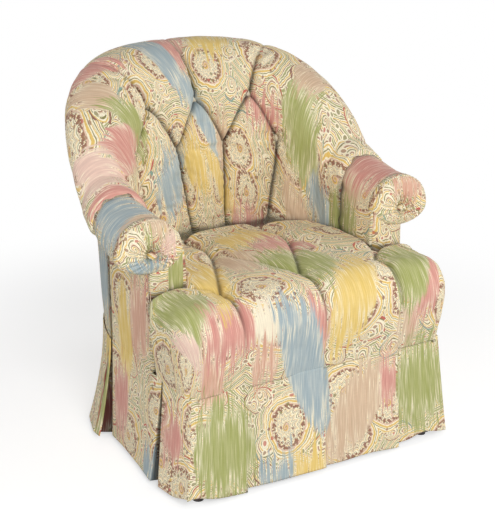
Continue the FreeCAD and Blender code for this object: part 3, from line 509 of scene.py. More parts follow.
def build_seat():
    weft = np.arange(-SEAT_HALF_WEFT, SEAT_HALF_WEFT + 0.1, SEAT_STEP)
    warp = np.arange(-SEAT_CLOTH_FRONT, 150.0, SEAT_STEP)
    across, along = np.meshgrid(weft, warp)
    ear_x = np.maximum(np.abs(across) - EAR_FLAT_X, 0.0)
    front = np.maximum(EAR_FLAT_FRONT - along, 0.0)
    rear = np.maximum(along - EAR_FLAT_REAR, 0.0)
    body_x = np.maximum(np.abs(across) - SEAT_FLAT_X, 0.0)
    body_rear = np.maximum(along - SEAT_FLAT_REAR, 0.0)
    in_body = np.hypot(body_x, body_rear + front) < np.hypot(ear_x, front + rear)
    wide = np.where(in_body, TUCK[0], EAR_SIDE_REACH)
    side_share = np.where(in_body, body_x / TUCK[2], ear_x / EAR_SIDE_CLOTH)
    back_share = np.where(in_body, body_rear, rear) / TUCK[2]
    front_share = front / EAR_FRONT[2]
    end_share = np.maximum(front_share, back_share)
    over = np.hypot(side_share, end_share)
    norm = np.maximum(over, 1e-9)
    turn = unit(over) * math.pi / 2
    wall = unit(over - 1.0)
    out = np.sin(turn) - NOSE_DRAW * wall ** 1.3 * np.where(front_share + ear_x > 0, 1.0, 0.0)
    is_front = front_share > 0
    tall = np.where(is_front | (ear_x > 0) & ~in_body & (rear <= 0), EAR_FRONT[1], TUCK[1])
    end_out = np.where(is_front, -EAR_FRONT[0], TUCK[0])
    flat_x = np.where(in_body, SEAT_FLAT_X, EAR_FLAT_X)
    base_x = np.clip(across, -flat_x, flat_x)
    base_y = np.clip(along, EAR_FLAT_FRONT, np.where(in_body, SEAT_FLAT_REAR, EAR_FLAT_REAR))
    x = base_x + np.sign(across) * wide * out * side_share / norm
    y = base_y + end_out * out * end_share / norm
    crown = seat_crown(base_x, base_y)
    z = crown - tall * (1.0 - np.cos(turn)) - (crown - tall - WAIST) * wall
    curve = ease((y + 80.0) / 160.0) * 46.0 * unit((np.abs(x) - 60.0) / 190.0) ** 1.4
    points = grid(x, y - curve, z)

    folds = []
    for near, far in SEAT_DIAMONDS:
        ends = (SEAT_BUTTONS_FRONT[near], SEAT_BUTTONS_REAR[far])
        folds.append(fold_line(across, along, *ends, *SEAT_FOLD))
    for middle, level in SEAT_BUTTONS_FRONT:
        away = np.abs(across - middle - 2.5 * ripple(along, 0.0, 160.0, 9))
        depth = 3.0 + 25.0 * ease((along + 490.0) / 200.0)
        folds.append((away, tail_depth(level - along, depth, 28.0, 7.0), 18.0))
    for middle, level in SEAT_BUTTONS_REAR:
        folds.append((np.abs(across - middle), tail_depth(along - level, 28.0, 28.0, 7.0), 22.0))
    for side, button in ((-1.0, SEAT_BUTTONS_FRONT[0]), (1.0, SEAT_BUTTONS_FRONT[2])):
        end = (side * EAR_FOLD_END[0], EAR_FOLD_END[1])
        folds.append(fold_line(across, along, button, end, *EAR_FOLD))
    soft, tight, grip, line = valleys(folds)
    buttons = SEAT_BUTTONS_FRONT + SEAT_BUTTONS_REAR
    tight = tight + button_dents(across, along, buttons, width=14.0, seed=40)
    tight = tight + 1.3 * ripple(across, along, 130.0, 5) + 0.6 * ripple(across, along, 38.0, 6)
    held = ease((1.98 - over) / 0.3)
    sewn = np.maximum(grip, ease((over - 0.75) / 0.5))
    cover, normals = stuffed_cover(
        "seat_cloth_at_work", points, soft, tight, sewn, held, SEAT_PRESSURE, SEAT_PUFF)
    lost = quads_of(over >= 2.0).all(axis=2)
    seats = []
    for middle, level in buttons:
        row = int(np.argmin(np.abs(warp - level)))
        column = int(np.argmin(np.abs(weft - middle)))
        seats.append((cover[row, column], normals[row, column]))
    # Painted shade: the fold lines, and the border where it tucks down at the back and beside the arms.
    behind = np.where(in_body | (rear > 0.0), ease((over - 0.5) / 0.9), 0.0)
    shade = np.maximum(line, 0.8 * behind)
    cloth = grid(across, along)
    return shell("seat_cover_tufted", cover, cloth, SEAT_COVER, keep=~lost, crease=shade), seats


# Arms

GATHER_EDGE = 22.0
KNOT_RADIUS = 10.5
KNOT_LOBES = 5.0


def build_arm(side, name):
    """Rolled arm: its inside face, round the roll to the outside panel, flatter below than above."""
    along = np.linspace(ARM_FRONT_Y - 2.0, ARM_REAR_Y, 72)
    if side > 0:
        along = along[::-1]
    inside, roll, level, drop = arm_profile(along)
    rise = np.linspace(0.0, 1.0, 48)[:-1, None]
    wall_z = PAD_LOW + (level - PAD_LOW) * rise
    wall_x = inside - 7.0 * np.sin(math.pi * unit((wall_z - 380.0) / 150.0))
    turn = np.linspace(math.pi, -math.radians(87.0), 100)[:, None]
    bulge = np.sin(turn)
    round_x = inside + roll + roll * np.cos(turn)
    round_z = level + np.where(bulge > 0, roll, drop) * bulge
    end_x = np.full((1, len(along)), PANEL_X - 8.0)
    x = np.concatenate([wall_x, round_x, end_x]) * side
    z = np.concatenate([wall_z, round_z, round_z[-1:] + 2.0])
    y = along + 0.0 * x
    points = grid(x, y, z)
    around = path_length(x, z)
    sink = 1.5 * ripple(around, y, 120.0, 11 + int(side)) + 0.5 * ripple(around, y, 34.0, 15 + int(side))
    from_wing = np.maximum(WING_FRONT_Y - y, 0.0)
    puckers = 3.0 + 1.3 * np.sin(around / 9.0) + 1.0 * np.sin(around / 5.3 + 1.0)
    sink = sink + np.exp(-from_wing / 20.0) * puckers
    rows = np.arange(len(x))[:, None]
    sink = sink * unit((len(x) - 2 - rows) / 8.0) * unit((y - ARM_FRONT_Y) / 10.0)
    cover = points - grid_normals(points) * sink[..., None]
    # Painted shade: darker where the roll meets the wing, more so down its inside face, and along the seat
    # joint.
    inner = np.where(rows < len(rise), ease((level - z) / 40.0), 0.0)
    wing_joint_shade = (0.6 + 0.35 * inner) * np.exp(-from_wing / (6.0 + 8.0 * inner))
    shade = np.maximum(wing_joint_shade, seat_shade(cover))
    return shell(name, cover, grid(y * side, around), ARM_COVER, crease=shade)


def build_gather(side, name):
    """End of a roll: the cloth turns over the edge and is drawn into pleats round the middle."""
    turns = np.linspace(0.0, TURN, 337)[:-1]
    bend = np.linspace(0.0, 1.0, 15) * math.pi / 2
    rim = ARM_ROLL + 0.4
    edge_radius = rim - GATHER_EDGE * (1.0 - np.cos(bend))
    edge_y = ARM_FRONT_Y + 8.0 - (GATHER_EDGE + 2.0) * np.sin(bend)
    share = np.linspace(0.0, 1.0, 36)[1:]
    disc_radius = (rim - GATHER_EDGE) * (1.0 - share) + 4.0 * share
    disc_y = edge_y[-1] - 5.0 * np.sin(math.pi * unit(share * 1.05)) + 17.0 * share ** 4
    radius = np.concatenate([[rim], edge_radius, disc_radius])[:, None]
    depth = np.concatenate([[ARM_FRONT_Y + 16.0], edge_y, disc_y])[:, None]
    spaced = np.random.default_rng(31 + int(side))
    wander = 0.0
    for wave in (1, 2, 3, 5):
        wander = wander + spaced.uniform(-0.3, 0.3) * np.sin(wave * turns + spaced.uniform(0, 6.28))
    pleats = np.abs((GATHER_PLEATS * turns / TURN + wander) % 1.0 - 0.5) * 2.0
    drawn = ease(unit((rim - radius) / rim) * 6.0)
    near = np.exp(-np.maximum(radius - 10.0, 0.0) / 30.0)
    sink = (1.0 - pleats ** 0.7) * (1.0 * drawn + 8.5 * near) * ease((radius - 2.0) / 8.0) * drawn
    below = np.where(np.sin(turns) > 0, 1.0, ARM_DROP / ARM_ROLL)
    x = side * ARM_CENTRE + radius * np.cos(turns)
    z = ARM_LEVEL + radius * (np.sin(turns) * below)
    points = facing_front(grid(x, depth + sink, z), 20)
    spread = path_length(radius, depth)
    cloth = grid(points[..., 0] - side * ARM_CENTRE, points[..., 2] - ARM_LEVEL)
    cloth = cloth / np.maximum(np.linalg.norm(cloth, axis=2, keepdims=True), 1e-6)
    cloth = cloth * (spread[-1] - spread + 6.0)[..., None]
    return shell(name, points, cloth, END_COVER, ring=True)


def build_rosette(side, name):
    """Knot in the middle of a gather: a small twist of puckered cloth."""
    turns = np.linspace(0.0, TURN, 61)[:-1]
    share = np.linspace(0.0, 1.0, 14)[:, None]
    lobes = np.cos(KNOT_LOBES * turns + 3.4 * share)
    pucker = 1.0 + 0.16 * lobes * np.sin(math.pi * unit(share * 0.8 + 0.2))
    radius = KNOT_RADIUS * np.cos(share * math.pi / 2 * 0.98) ** 0.7 * pucker + 0.05
    x = side * ARM_CENTRE + radius * np.cos(turns)
    z = ARM_LEVEL + 0.78 * radius * np.sin(turns)
    twist = 3.2 * np.cos(KNOT_LOBES * turns) * share * (1 - share)
    y = ARM_FRONT_Y - 6.0 - 10.0 * np.sin(share * math.pi / 2) + twist
    points = facing_front(grid(x, y, z), 4)
    return shell(name, points, points[..., [0, 2]], KNOT_COVER, ring=True)


def build_facing(side, name):
    """Facing under the roll; the cloth of the inside arm wraps its inner corner up to a sewn fold."""
    width = np.linspace(0.0, 1.0, 44)
    rise = np.linspace(250.0, 516.0, 60)[:, None]
    x = ARM_INSIDE - 0.6 + width * (PANEL_X + 2.0 - ARM_INSIDE) + 0.0 * rise
    inset = np.minimum(x - ARM_INSIDE + 0.6, PANEL_X + 1.4 - x)
    edge = np.sqrt(unit(1.0 - (1.0 - unit(inset / 12.0)) ** 2))
    crease = 4.5 * np.exp(-np.abs(x - FACING_FOLD_X) / 2.4)
    y = ARM_FRONT_Y + 2.0 - 11.0 * edge - 1.2 * ripple(x, rise, 70.0, 61) + crease
    points = grid(side * x, y, rise)
    if side < 0:
        points = points[:, ::-1]
    # Painted shade along the joint with the seat.
    return shell(name, points, points[..., [0, 2]], END_COVER, crease=seat_shade(points))


# Outside panels, drawn in along the seams between them

SEAM_DIP = 6.0
SEAM_SHADE = 0.95


def build_outside_back():
    angles = np.linspace(90.0, -90.0, 181)
    columns = []
    for angle in angles:
        roll = crest_roll(angle)
        level = crest_top(angle) - roll
        reach = (panel_head(angle) - crest_outer(angle) + roll) / roll
        under = level - roll_drop(angle) * math.sqrt(1.0 - reach ** 2)
        rise = np.linspace(WAIST - 4.0, under + 6.0, 90)
        share = (rise - WAIST) / (level - WAIST)
        columns.append((panel_foot(angle) + (panel_head(angle) - panel_foot(angle)) * share, rise))
    radius, rise = np.stack(columns, axis=-1)
    seam = np.radians(90.0 - np.abs(angles)) * radius
    bulge = 2.0 * np.sin(math.pi * np.linspace(0.0, 1.0, 90))[:, None] * ease(seam / 90.0)
    bulge = bulge + 0.8 * ripple(angles * 5.6, rise, 190.0, 71) - SEAM_DIP * np.exp(-seam / 4.0)
    points = polar(angles, radius + bulge, rise)
    cloth = grid(-np.radians(angles) * 330.0, rise)
    # Painted shade along the seam where the panel meets each outside arm.
    shade = SEAM_SHADE * np.exp(-(seam / 10.0) ** 2)
    return shell("outside_back_panel", points, cloth, PANEL_COVER, crease=shade)


def build_outside_arm(side, name):
    y = np.linspace(ARM_FRONT_Y - 4.0, BARREL_Y - 0.4, 90)
    if side < 0:
        y = y[::-1]
    level, drop = arm_profile(y)[2:]
    tall = np.linspace(0.0, 1.0, 84)[:, None]
    rise = WAIST - 4.0 + (level - drop + 10.0 - WAIST) * tall
    share = (y - ARM_FRONT_Y) / (BARREL_Y - ARM_FRONT_Y)
    seam = np.abs(BARREL_Y - y)
    bulge = 3.0 * np.sin(math.pi * tall) * np.sin(math.pi * unit(share)) ** 0.6
    bulge = bulge + 0.8 * ripple(y, rise, 120.0, 74 + int(side)) * ease(tall * 4.0)
    points = grid(side * (PANEL_X + bulge - SEAM_DIP * np.exp(-seam / 4.0)), y, rise)
    # Painted shade along the seam where the panel meets the outside back.
    shade = SEAM_SHADE * np.exp(-(seam / 7.0) ** 2)
    return shell(name, points, grid(y * side, rise), PANEL_COVER, crease=shade)


# Skirt: each side is one sheet that follows a folded path, closed at the waist and open at the hem

HEM_LIFT = 16.0
HEM_LIFT_WIDTH = 26.0
HEM_WAVE = 3.2
PLEAT_SHADE = 0.9


def along_path(keys, counts):
    out = []
    for start, end, count in zip(np.array(keys), np.array(keys[1:]), counts):
        out.append(start + (end - start) * np.linspace(0.0, 1.0, count + 1)[:-1, None])
    return np.concatenate(out + [np.array(keys[-1:])])


def build_skirt(name, hem_keys, waist_keys, pleats, wave, seed, weft, top=0.0, sweep=1.12):
    """One hanging sheet. Its print goes on from the panel above; between a pleat's keys it is folded in."""
    counts = [max(3, int(math.dist(start, end) / 4.0)) for start, end in zip(hem_keys, hem_keys[1:])]
    hem = along_path(hem_keys, counts)
    waist = along_path(waist_keys, counts)
    fall = np.linspace(1.0, 0.0, 56)[:, None]
    plan = waist + (hem - waist) * fall[..., None] ** sweep
    z = SKIRT_TOP + (HEM - SKIRT_TOP) * fall
    length = path_length(hem[:, 0], hem[:, 1])
    heading = np.gradient(plan, axis=1)
    heading = heading / np.maximum(np.linalg.norm(heading, axis=2, keepdims=True), 1e-6)
    out = grid(heading[..., 1], -heading[..., 0])
    soft = wave * fall ** 1.5 * ripple(hem[:, 0] + hem[:, 1], z * 0.4, 150.0, seed)
    plan = plan + out * soft[..., None]
    z = z + HEM_WAVE * ripple(length, 0.0, 150.0, seed + 1) * fall
    for x, y in HEM_LIFTS:
        near = np.exp(-((hem[:, 0] - x) ** 2 + (hem[:, 1] - y) ** 2) / (2.0 * HEM_LIFT_WIDTH ** 2))
        z = z + HEM_LIFT * near * fall ** 4
    corners = length[np.concatenate([[0], np.cumsum(counts)])]
    # Painted shade inside each pleat, between its keys.
    deep = np.zeros(len(length))
    for first, last in pleats:
        deep = np.maximum(deep, ease(np.minimum(length - corners[first], corners[last] - length) / 7.0))
    cloth = grid(weft(hem, length), z + top)
    points = grid(plan[..., 0], plan[..., 1], z)
    return shell(name, points, cloth, SKIRT_CLOTH, crease=PLEAT_SHADE * deep), length[-1]


def front_skirt_keys():
    hem = [(-345.0, -371.0)]
    waist = [(-322.0, -354.0)]
    for x, _ in SEAT_BUTTONS_FRONT:
        hem += [(x, -383.0), (x + 1.0, -377.6), (x - 36.0, -371.5), (x - 34.0, -368.0)]
        waist += [(x, -362.0), (x + 0.6, -357.2), (x - 30.0, -355.0), (x - 28.0, -352.4)]
    hem += [(345.0, -374.0)]
    waist += [(322.0, -354.0)]
    return hem, waist, [(1, 4), (5, 8), (9, 12)]


def side_skirt_keys(side):
    hem = [
        (345.0, -372.0), (352.0, -320.0), (360.0, -264.0), (335.0, -257.0), (335.0, -236.0), (361.0, -228.0),
        (358.0, -198.0), (356.0, -176.0), (348.0, -90.0), (340.0, 8.0), (330.0, 20.0), (369.0, 40.0),
    ]
    waist = [
        (322.0, -354.0), (333.6, -318.0), (334.0, -249.0), (331.0, -247.0), (331.0, -245.0), (334.0, -243.0),
        (333.4, -198.0), (329.2, -178.0), (328.8, -90.0), (328.8, 10.0), (328.0, 16.0), (329.0, 26.0),
    ]
    hem = [(side * x, y) for x, y in hem]
    waist = [(side * x, y) for x, y in waist]
    if side < 0:
        return hem[::-1], waist[::-1], [(0, 2), (6, 9)]
    return hem, waist, [(2, 5), (9, 11)]


def back_skirt_keys():
    ends = [91.0, 88.0, 85.0, 81.5, 78.0, 74.0]
    turns = np.array(ends + list(np.linspace(70.0, -70.0, 30)) + [-turn for turn in ends[::-1]])
    flap = np.interp(np.abs(turns), [0.0, 55.0, 68.0, 77.0, 84.0, 91.0], [24.0, 24.0, 36.0, 49.0, 52.0, 44.0])
    foot = panel_foot(turns)
    hem = polar(turns, foot + flap, 0.0)[:, :2]
    waist = polar(turns, foot + 4.0, 0.0)[:, :2]
    return hem, waist, []


# Node trees

def is_socket(value):
    return isinstance(value, bpy.types.NodeSocket)


def feed(made, feeds):
    for key, value in feeds.items():
        if is_socket(value):
            made.id_data.links.new(value, made.inputs[key])
        else:
            made.inputs[key].default_value = value


def node(tree, kind, feeds=None, **settings):
    made = tree.nodes.new(kind)
    for key, value in settings.items():
        setattr(made, key, value)
    feed(made, feeds or {})
    return made


def group(name, inputs, outputs, kind="ShaderNodeTree"):
    """New node group, with its given values and the node that takes its results."""
    tree = bpy.data.node_groups.new(name, kind)
    for direction, sockets in (("INPUT", inputs), ("OUTPUT", outputs)):
        for label, value in sockets.items():
            tree.interface.new_socket(name=label, in_out=direction, socket_type="NodeSocket" + value)
    return tree, tree.nodes.new("NodeGroupInput").outputs, tree.nodes.new("NodeGroupOutput")


def calc(operation, *values):
    """One step of arithmetic, in the tree of the sockets that it starts from."""
    tree = next(value.id_data for value in values if is_socket(value))
    return node(tree, "ShaderNodeMath", dict(enumerate(values)), operation=operation).outputs[0]


def times(first, second):
    return calc("MULTIPLY", first, second)


def times_plus(value, factor, extra):
    return calc("MULTIPLY_ADD", value, factor, extra)


def less(first, second):
    return calc("SUBTRACT", first, second)


def divide(first, second):
    return calc("DIVIDE", first, second)


def size_of(value):
    return calc("ABSOLUTE", value)


def sine(value):
    return calc("SINE", value)


def vector_calc(operation, first, second):
    feeds = {0: first, "Scale" if operation == "SCALE" else 1: second}
    return node(first.id_data, "ShaderNodeVectorMath", feeds, operation=operation).outputs[0]


def blend(share, first, second):
    feeds = {0: share, 6: first, 7: second}
    return node(share.id_data, "ShaderNodeMix", feeds, data_type="RGBA").outputs[2]


def span(value, low, high):
    """0 below low, 1 above high, smooth between."""
    feeds = {"Value": value, "From Min": low, "From Max": high}
    made = node(value.id_data, "ShaderNodeMapRange", feeds, interpolation_type="SMOOTHSTEP")
    return made.outputs["Result"]


def axes_of(vector):
    return node(vector.id_data, "ShaderNodeSeparateXYZ", {0: vector}).outputs


def noise(vector, scale, detail, stretch=None, distortion=0.0):
    """Outputs of a noise, whose places may first be stretched by a factor along each axis."""
    if stretch:
        vector = node(vector.id_data, "ShaderNodeMapping", {"Vector": vector, "Scale": stretch}).outputs[0]
    feeds = {"Vector": vector, "Scale": scale, "Detail": detail, "Distortion": distortion}
    return node(vector.id_data, "ShaderNodeTexNoise", feeds).outputs


def cells_of(vector, scale, scatter):
    """Outputs of a scattered set of cells, and three random values of the nearest one."""
    feeds = {"Vector": vector, "Scale": scale, "Randomness": scatter}
    cells = node(vector.id_data, "ShaderNodeTexVoronoi", feeds, voronoi_dimensions="2D").outputs
    return cells, node(vector.id_data, "ShaderNodeSeparateColor", {0: cells["Color"]}).outputs


def bands(value, *stops):
    """Flat bands of colour: pairs of a colour and the value at which it starts."""
    ramp = node(value.id_data, "ShaderNodeValToRGB", {"Fac": value})
    ramp.color_ramp.interpolation = "CONSTANT"
    for number, (colour, place) in enumerate(stops):
        if number < 2:
            stop = ramp.color_ramp.elements[number]
            stop.position = place
        else:
            stop = ramp.color_ramp.elements.new(place)
        stop.color = colour
    return ramp.outputs["Color"]


# Buttons: covered domes placed on the tufts by a node tree

BUTTON_RADIUS = 9.5
BUTTON_CROWN = 0.55
BACK_BUTTON_LIFT = 4.0
SEAT_BUTTON_LIFT = 3.0


def button_tree(material):
    inputs = {"Places": "Geometry", "Radius": "Float", "Crown": "Float"}
    tree, given, result = group("covered_buttons", inputs, {"Buttons": "Geometry"}, "GeometryNodeTree")
    dome = node(tree, "GeometryNodeMeshUVSphere", {"Segments": 24, "Rings": 12, "Radius": given["Radius"]})
    flat = node(tree, "ShaderNodeCombineXYZ", {"X": 1.0, "Y": 1.0, "Z": given["Crown"]})
    squash = node(tree, "GeometryNodeTransform", {"Geometry": dome.outputs[0], "Scale": flat.outputs[0]})
    smooth = node(tree, "GeometryNodeSetShadeSmooth", {"Geometry": squash.outputs[0]})
    facing = node(tree, "GeometryNodeInputNamedAttribute", {"Name": "facing"}, data_type="FLOAT_VECTOR")
    aim = node(tree, "FunctionNodeAlignRotationToVector", {"Vector": facing.outputs["Attribute"]}, axis="Z")
    feeds = {"Points": given["Places"], "Instance": smooth.outputs[0], "Rotation": aim.outputs[0]}
    place = node(tree, "GeometryNodeInstanceOnPoints", feeds)
    real = node(tree, "GeometryNodeRealizeInstances", {"Geometry": place.outputs[0]})
    paint = node(tree, "GeometryNodeSetMaterial", {"Geometry": real.outputs[0], "Material": material})
    feed(result, {"Buttons": paint.outputs[0]})
    return tree


def build_buttons(name, seats, tree, lift):
    mesh = bpy.data.meshes.new(name + "_places")
    mesh.from_pydata([Vector((point + normal * lift) * MILLIMETRE) for point, normal in seats], [], [])
    facing = mesh.attributes.new("facing", "FLOAT_VECTOR", "POINT")
    facing.data.foreach_set("vector", np.array([normal for _, normal in seats], np.float32).ravel())
    holder = in_scene(name + "_places", mesh)
    modifier = holder.modifiers.new("buttons", "NODES")
    modifier.node_group = tree
    keys = {item.name: item.identifier for item in tree.interface.items_tree}
    modifier[keys["Radius"]] = BUTTON_RADIUS * MILLIMETRE
    modifier[keys["Crown"]] = BUTTON_CROWN
    made = bpy.data.meshes.new_from_object(holder.evaluated_get(bpy.context.evaluated_depsgraph_get()))
    bpy.data.objects.remove(holder)
    return in_scene(name, made)


# Print cloth

def tint(red, green, blue):
    """Colour from its 0 to 255 values as seen on a screen."""
    parts = []
    for value in (red, green, blue):
        part = value / 255.0
        parts.append(part / 12.92 if part <= 0.04045 else ((part + 0.055) / 1.055) ** 2.4)
    return (*parts, 1.0)


CREAM = tint(250, 240, 212)
STRAW = tint(230, 196, 112)
SAGE = tint(172, 172, 120)
OLIVE = tint(136, 130, 82)
BARK = tint(162, 122, 92)
PLUM = tint(148, 104, 90)
BLUSH = tint(230, 196, 170)
RUST = tint(198, 104, 90)
TEAL = tint(138, 168, 156)
DYES = {
    "green": tint(164, 168, 100),
    "blue": tint(160, 176, 182),
    "gold": tint(230, 198, 112),
    "rose": tint(212, 148, 136),
    "pink": tint(228, 194, 178),
    "coral": tint(216, 166, 142),
    "tan": tint(212, 182, 152),
    "cream": tint(238, 226, 200),
    "red": tint(178, 96, 84),
}


def paisley_group():
    """Medallions with a toothed ring, hooked drops between them, echo lines, leaves and print speckle."""
    tree, given, result = group("paisley", {"Cloth": "Vector"}, {"Color": "Color"})
    cloth = given["Cloth"]

    def swayed(vector, scale, size):
        offset = vector_calc("SUBTRACT", noise(vector, scale, 1.0)["Color"], (0.5, 0.5, 0.5))
        return vector_calc("ADD", vector, vector_calc("SCALE", offset, size))

    def drops(scale, scatter, lean_size):
        """Angle, its share of a turn, leaning distance and random values of the nearest drop of a set."""
        cells, random = cells_of(warped, scale, scatter)
        local = vector_calc("SUBTRACT", warped, cells["Position"])
        axes = axes_of(local)
        angle = calc("ARCTAN2", axes["Y"], axes["X"])
        reach = divide(cells["Distance"], scale)
        lean = sine(times_plus(random["Red"], 6.28, angle))
        turned = divide(angle, TURN)
        return angle, turned, times(reach, times_plus(lean, lean_size, 1.0)), random

    def echo(distance, count, start):
        """Which part of its band a point is in, with that many bands in a metre."""
        return calc("FRACT", times_plus(distance, count, start))

    def outside_of(distance, low, high):
        return less(1.0, span(distance, low, high))

    warped = swayed(swayed(cloth, 9.0, 0.05), 60.0, 0.008)
    grain = noise(cloth, 330.0, 1.0)["Fac"]
    mottle = noise(cloth, 150.0, 1.0)["Fac"]

    # Medallions: a heart, scallops, a toothed ring and thin rings round it
    angle, turned, drop, random = drops(6.0, 0.6, 0.12)
    petal = size_of(sine(times_plus(drop, 70.0, times(angle, 6.5))))
    scallop = echo(petal, 0.6, times_plus(drop, 88.0, turned))
    inside = bands(scallop, (CREAM, 0.0), (OLIVE, 0.26), (CREAM, 0.36), (BARK, 0.56), (CREAM, 0.66),
                   (STRAW, 0.82), (CREAM, 0.92))
    heart = bands(echo(drop, 130.0, turned), (BLUSH, 0.0), (BARK, 0.45), (STRAW, 0.62))
    inside = blend(span(drop, 0.009, 0.012), heart, inside)
    ring = blend(span(grain, 0.38, 0.62), PLUM, BARK)
    ring = blend(span(mottle, 0.5, 0.56), ring, inside)
    rings = bands(times(drop, 10.0), (BLUSH, 0.0), (CREAM, 0.51), (STRAW, 0.535), (CREAM, 0.575),
                  (OLIVE, 0.595), (CREAM, 0.612), (STRAW, 0.645), (CREAM, 0.67))
    lop = sine(times_plus(random["Blue"], 6.28, angle))
    tooth = size_of(sine(times(angle, 11.0)))
    toothed = times_plus(lop, 0.0022, times_plus(tooth, 0.006, drop))

    # Ground: hooked drops with an outline, and echo lines of the medallions
    _, hook_turned, hook, hook_random = drops(14.0, 0.85, 0.5)
    hooks = bands(echo(hook, 105.0, hook_turned), (CREAM, 0.0), (OLIVE, 0.26), (CREAM, 0.4), (STRAW, 0.56),
                  (CREAM, 0.7), (BARK, 0.82), (BLUSH, 0.92))
    lines = bands(echo(drop, 60.0, times(random["Green"], 3.0)), (SAGE, 0.0), (CREAM, 0.2),
                  (OLIVE, 0.32), (CREAM, 0.42), (STRAW, 0.54), (CREAM, 0.66), (BARK, 0.76), (CREAM, 0.86))
    ground = blend(span(hook, 0.0225, 0.0232), hooks, lines)
    outline = calc("LESS_THAN", size_of(less(hook, 0.0228)), 0.0014)
    outline_colour = bands(hook_random["Green"], (RUST, 0.0), (CREAM, 0.3), (TEAL, 0.55), (PLUM, 0.7),
                           (CREAM, 0.85))
    ground = blend(outline, ground, outline_colour)

    colour = blend(span(toothed, 0.0415, 0.0425), inside, ring)
    colour = blend(span(drop, 0.0478, 0.0485), colour, rings)
    colour = blend(span(drop, 0.068, 0.0686), colour, ground)

    # Leaves with a pale border, and speckle
    leaves, leaf = cells_of(warped, 52.0, 0.95)
    leaf_colour = bands(leaf["Red"], (PLUM, 0.0), (OLIVE, 0.34), (BARK, 0.56), (RUST, 0.8), (STRAW, 0.88))
    chosen = calc("GREATER_THAN", leaf["Green"], 0.52)
    pale = times(outside_of(leaves["Distance"], 0.3, 0.36), chosen)
    dark = times(outside_of(leaves["Distance"], 0.17, 0.22), chosen)
    colour = blend(times(pale, span(drop, 0.064, 0.07)), colour, CREAM)
    colour = blend(times(dark, 0.8), colour, leaf_colour)
    colour = blend(times(span(grain, 0.52, 0.66), 0.3), colour, BARK)
    feed(result, {"Color": colour})
    return tree


def patch_group():
    """One brushed patch of dye: a leaf with ragged ends along the warp, worn pale towards its border."""
    sizes = ("Weft", "Warp", "Half Width", "Half Length", "Slant", "Taper")
    inputs = {"Cloth": "Vector", "Under": "Color", "Dye": "Color", **{label: "Float" for label in sizes}}
    tree, given, result = group("brushed_patch", inputs, {"Color": "Color"})
    place = axes_of(given["Cloth"])
    warp = less(place["Y"], given["Warp"])
    weft = less(less(place["X"], given["Weft"]), times(warp, given["Slant"]))
    fine = noise(given["Cloth"], 1.0, 3.0, (560.0, 17.0, 1.0))["Fac"]
    broad = noise(given["Cloth"], 1.0, 1.0, (105.0, 9.0, 1.0))["Fac"]
    ragged = less(fine, 0.5)
    shift = times_plus(less(broad, 0.5), 0.15, times(ragged, 0.2))
    reach = calc("ADD", size_of(warp), shift)
    along = calc("MAXIMUM", divide(reach, given["Half Length"]), 0.0)
    lean = divide(warp, given["Half Length"])
    wide = calc("MAXIMUM", times_plus(lean, given["Taper"], 1.0), 0.1)
    across = divide(size_of(weft), times(wide, given["Half Width"]))
    edge = calc("ADD", calc("POWER", along, 2.0), calc("POWER", across, 2.4))
    edge = times_plus(ragged, 0.5, edge)
    share = less(1.0, span(edge, 0.84, 1.1))
    streak = span(times_plus(fine, 0.7, times(broad, 0.4)), 0.44, 0.7)
    pale = times_plus(span(edge, 0.2, 0.95), 0.6, 0.2)
    worn = blend(times(streak, pale), given["Dye"], CREAM)
    inked = vector_calc("SCALE", worn, times_plus(fine, 0.44, 0.78))
    feed(result, {"Color": blend(share, given["Under"], inked)})
    return tree


def weave_group():
    """Fine cotton weave: uneven colour, darkened by painted shade down in a crease, and a height for the
    bump.
    """
    inputs = {"Cloth": "Vector", "Color": "Color", "Threads": "Float", "Painted Shade": "Float"}
    outputs = {"Color": "Color", "Height": "Float", "Roughness": "Float"}
    tree, given, result = group("cotton_weave", inputs, outputs)
    scaled = vector_calc("SCALE", given["Cloth"], given["Threads"])
    place = axes_of(scaled)
    cross = times(sine(place["X"]), sine(place["Y"]))
    slub = noise(given["Cloth"], 1.0, 2.0, (40.0, 700.0, 1.0))["Fac"]
    wash = noise(given["Cloth"], 7.0, 3.0)["Fac"]
    shade = times_plus(wash, 0.1, times_plus(slub, 0.12, 0.89))
    # Painted shade: the colour is darkened by up to 86 percent where the crease attribute marks a fold, seam,
    # pleat or joint.
    shade = times(shade, times_plus(given["Painted Shade"], -0.86, 1.0))
    feed(result, {
        "Color": vector_calc("SCALE", given["Color"], shade),
        "Height": times_plus(slub, 0.8, times(cross, 0.5)),
        "Roughness": times_plus(slub, 0.14, 0.74),
    })
    return tree


def grain_group():
    """Long uneven streaks along Z, for wood and for rough yarn."""
    inputs = {"Vector": "Vector", "Dark": "Color", "Light": "Color", "Scale": "Float"}
    tree, given, result = group("streaks", inputs, {"Color": "Color", "Height": "Float"})
    scaled = vector_calc("SCALE", given["Vector"], given["Scale"])
    streaks = noise(scaled, 1.0, 5.0, (1.0, 1.0, 0.09), 0.6)["Fac"]
    colour = blend(span(streaks, 0.34, 0.68), given["Dark"], given["Light"])
    feed(result, {"Color": colour, "Height": streaks})
    return tree


PAISLEY = paisley_group()
PATCH = patch_group()
WEAVE = weave_group()
GRAIN = grain_group()
THREADS = 5200.0


def new_material(name):
    material = bpy.data.materials.new(name)
    material.use_nodes = True
    return material, material.node_tree


def brushed(tree, cloth, under, dye, weft, warp, half_width, half_length, slant=0.0, taper=0.0):
    """Colours under a patch, with the patch over them; its sizes are in millimetres."""
    sizes = {"Weft": weft, "Warp": warp, "Half Width": half_width, "Half Length": half_length}
    feeds = {label: value * MILLIMETRE for label, value in sizes.items()}
    feeds.update({"Cloth": cloth, "Under": under, "Dye": DYES[dye], "Slant": slant, "Taper": taper})
    return node(tree, "ShaderNodeGroup", feeds, node_tree=PATCH).outputs["Color"]


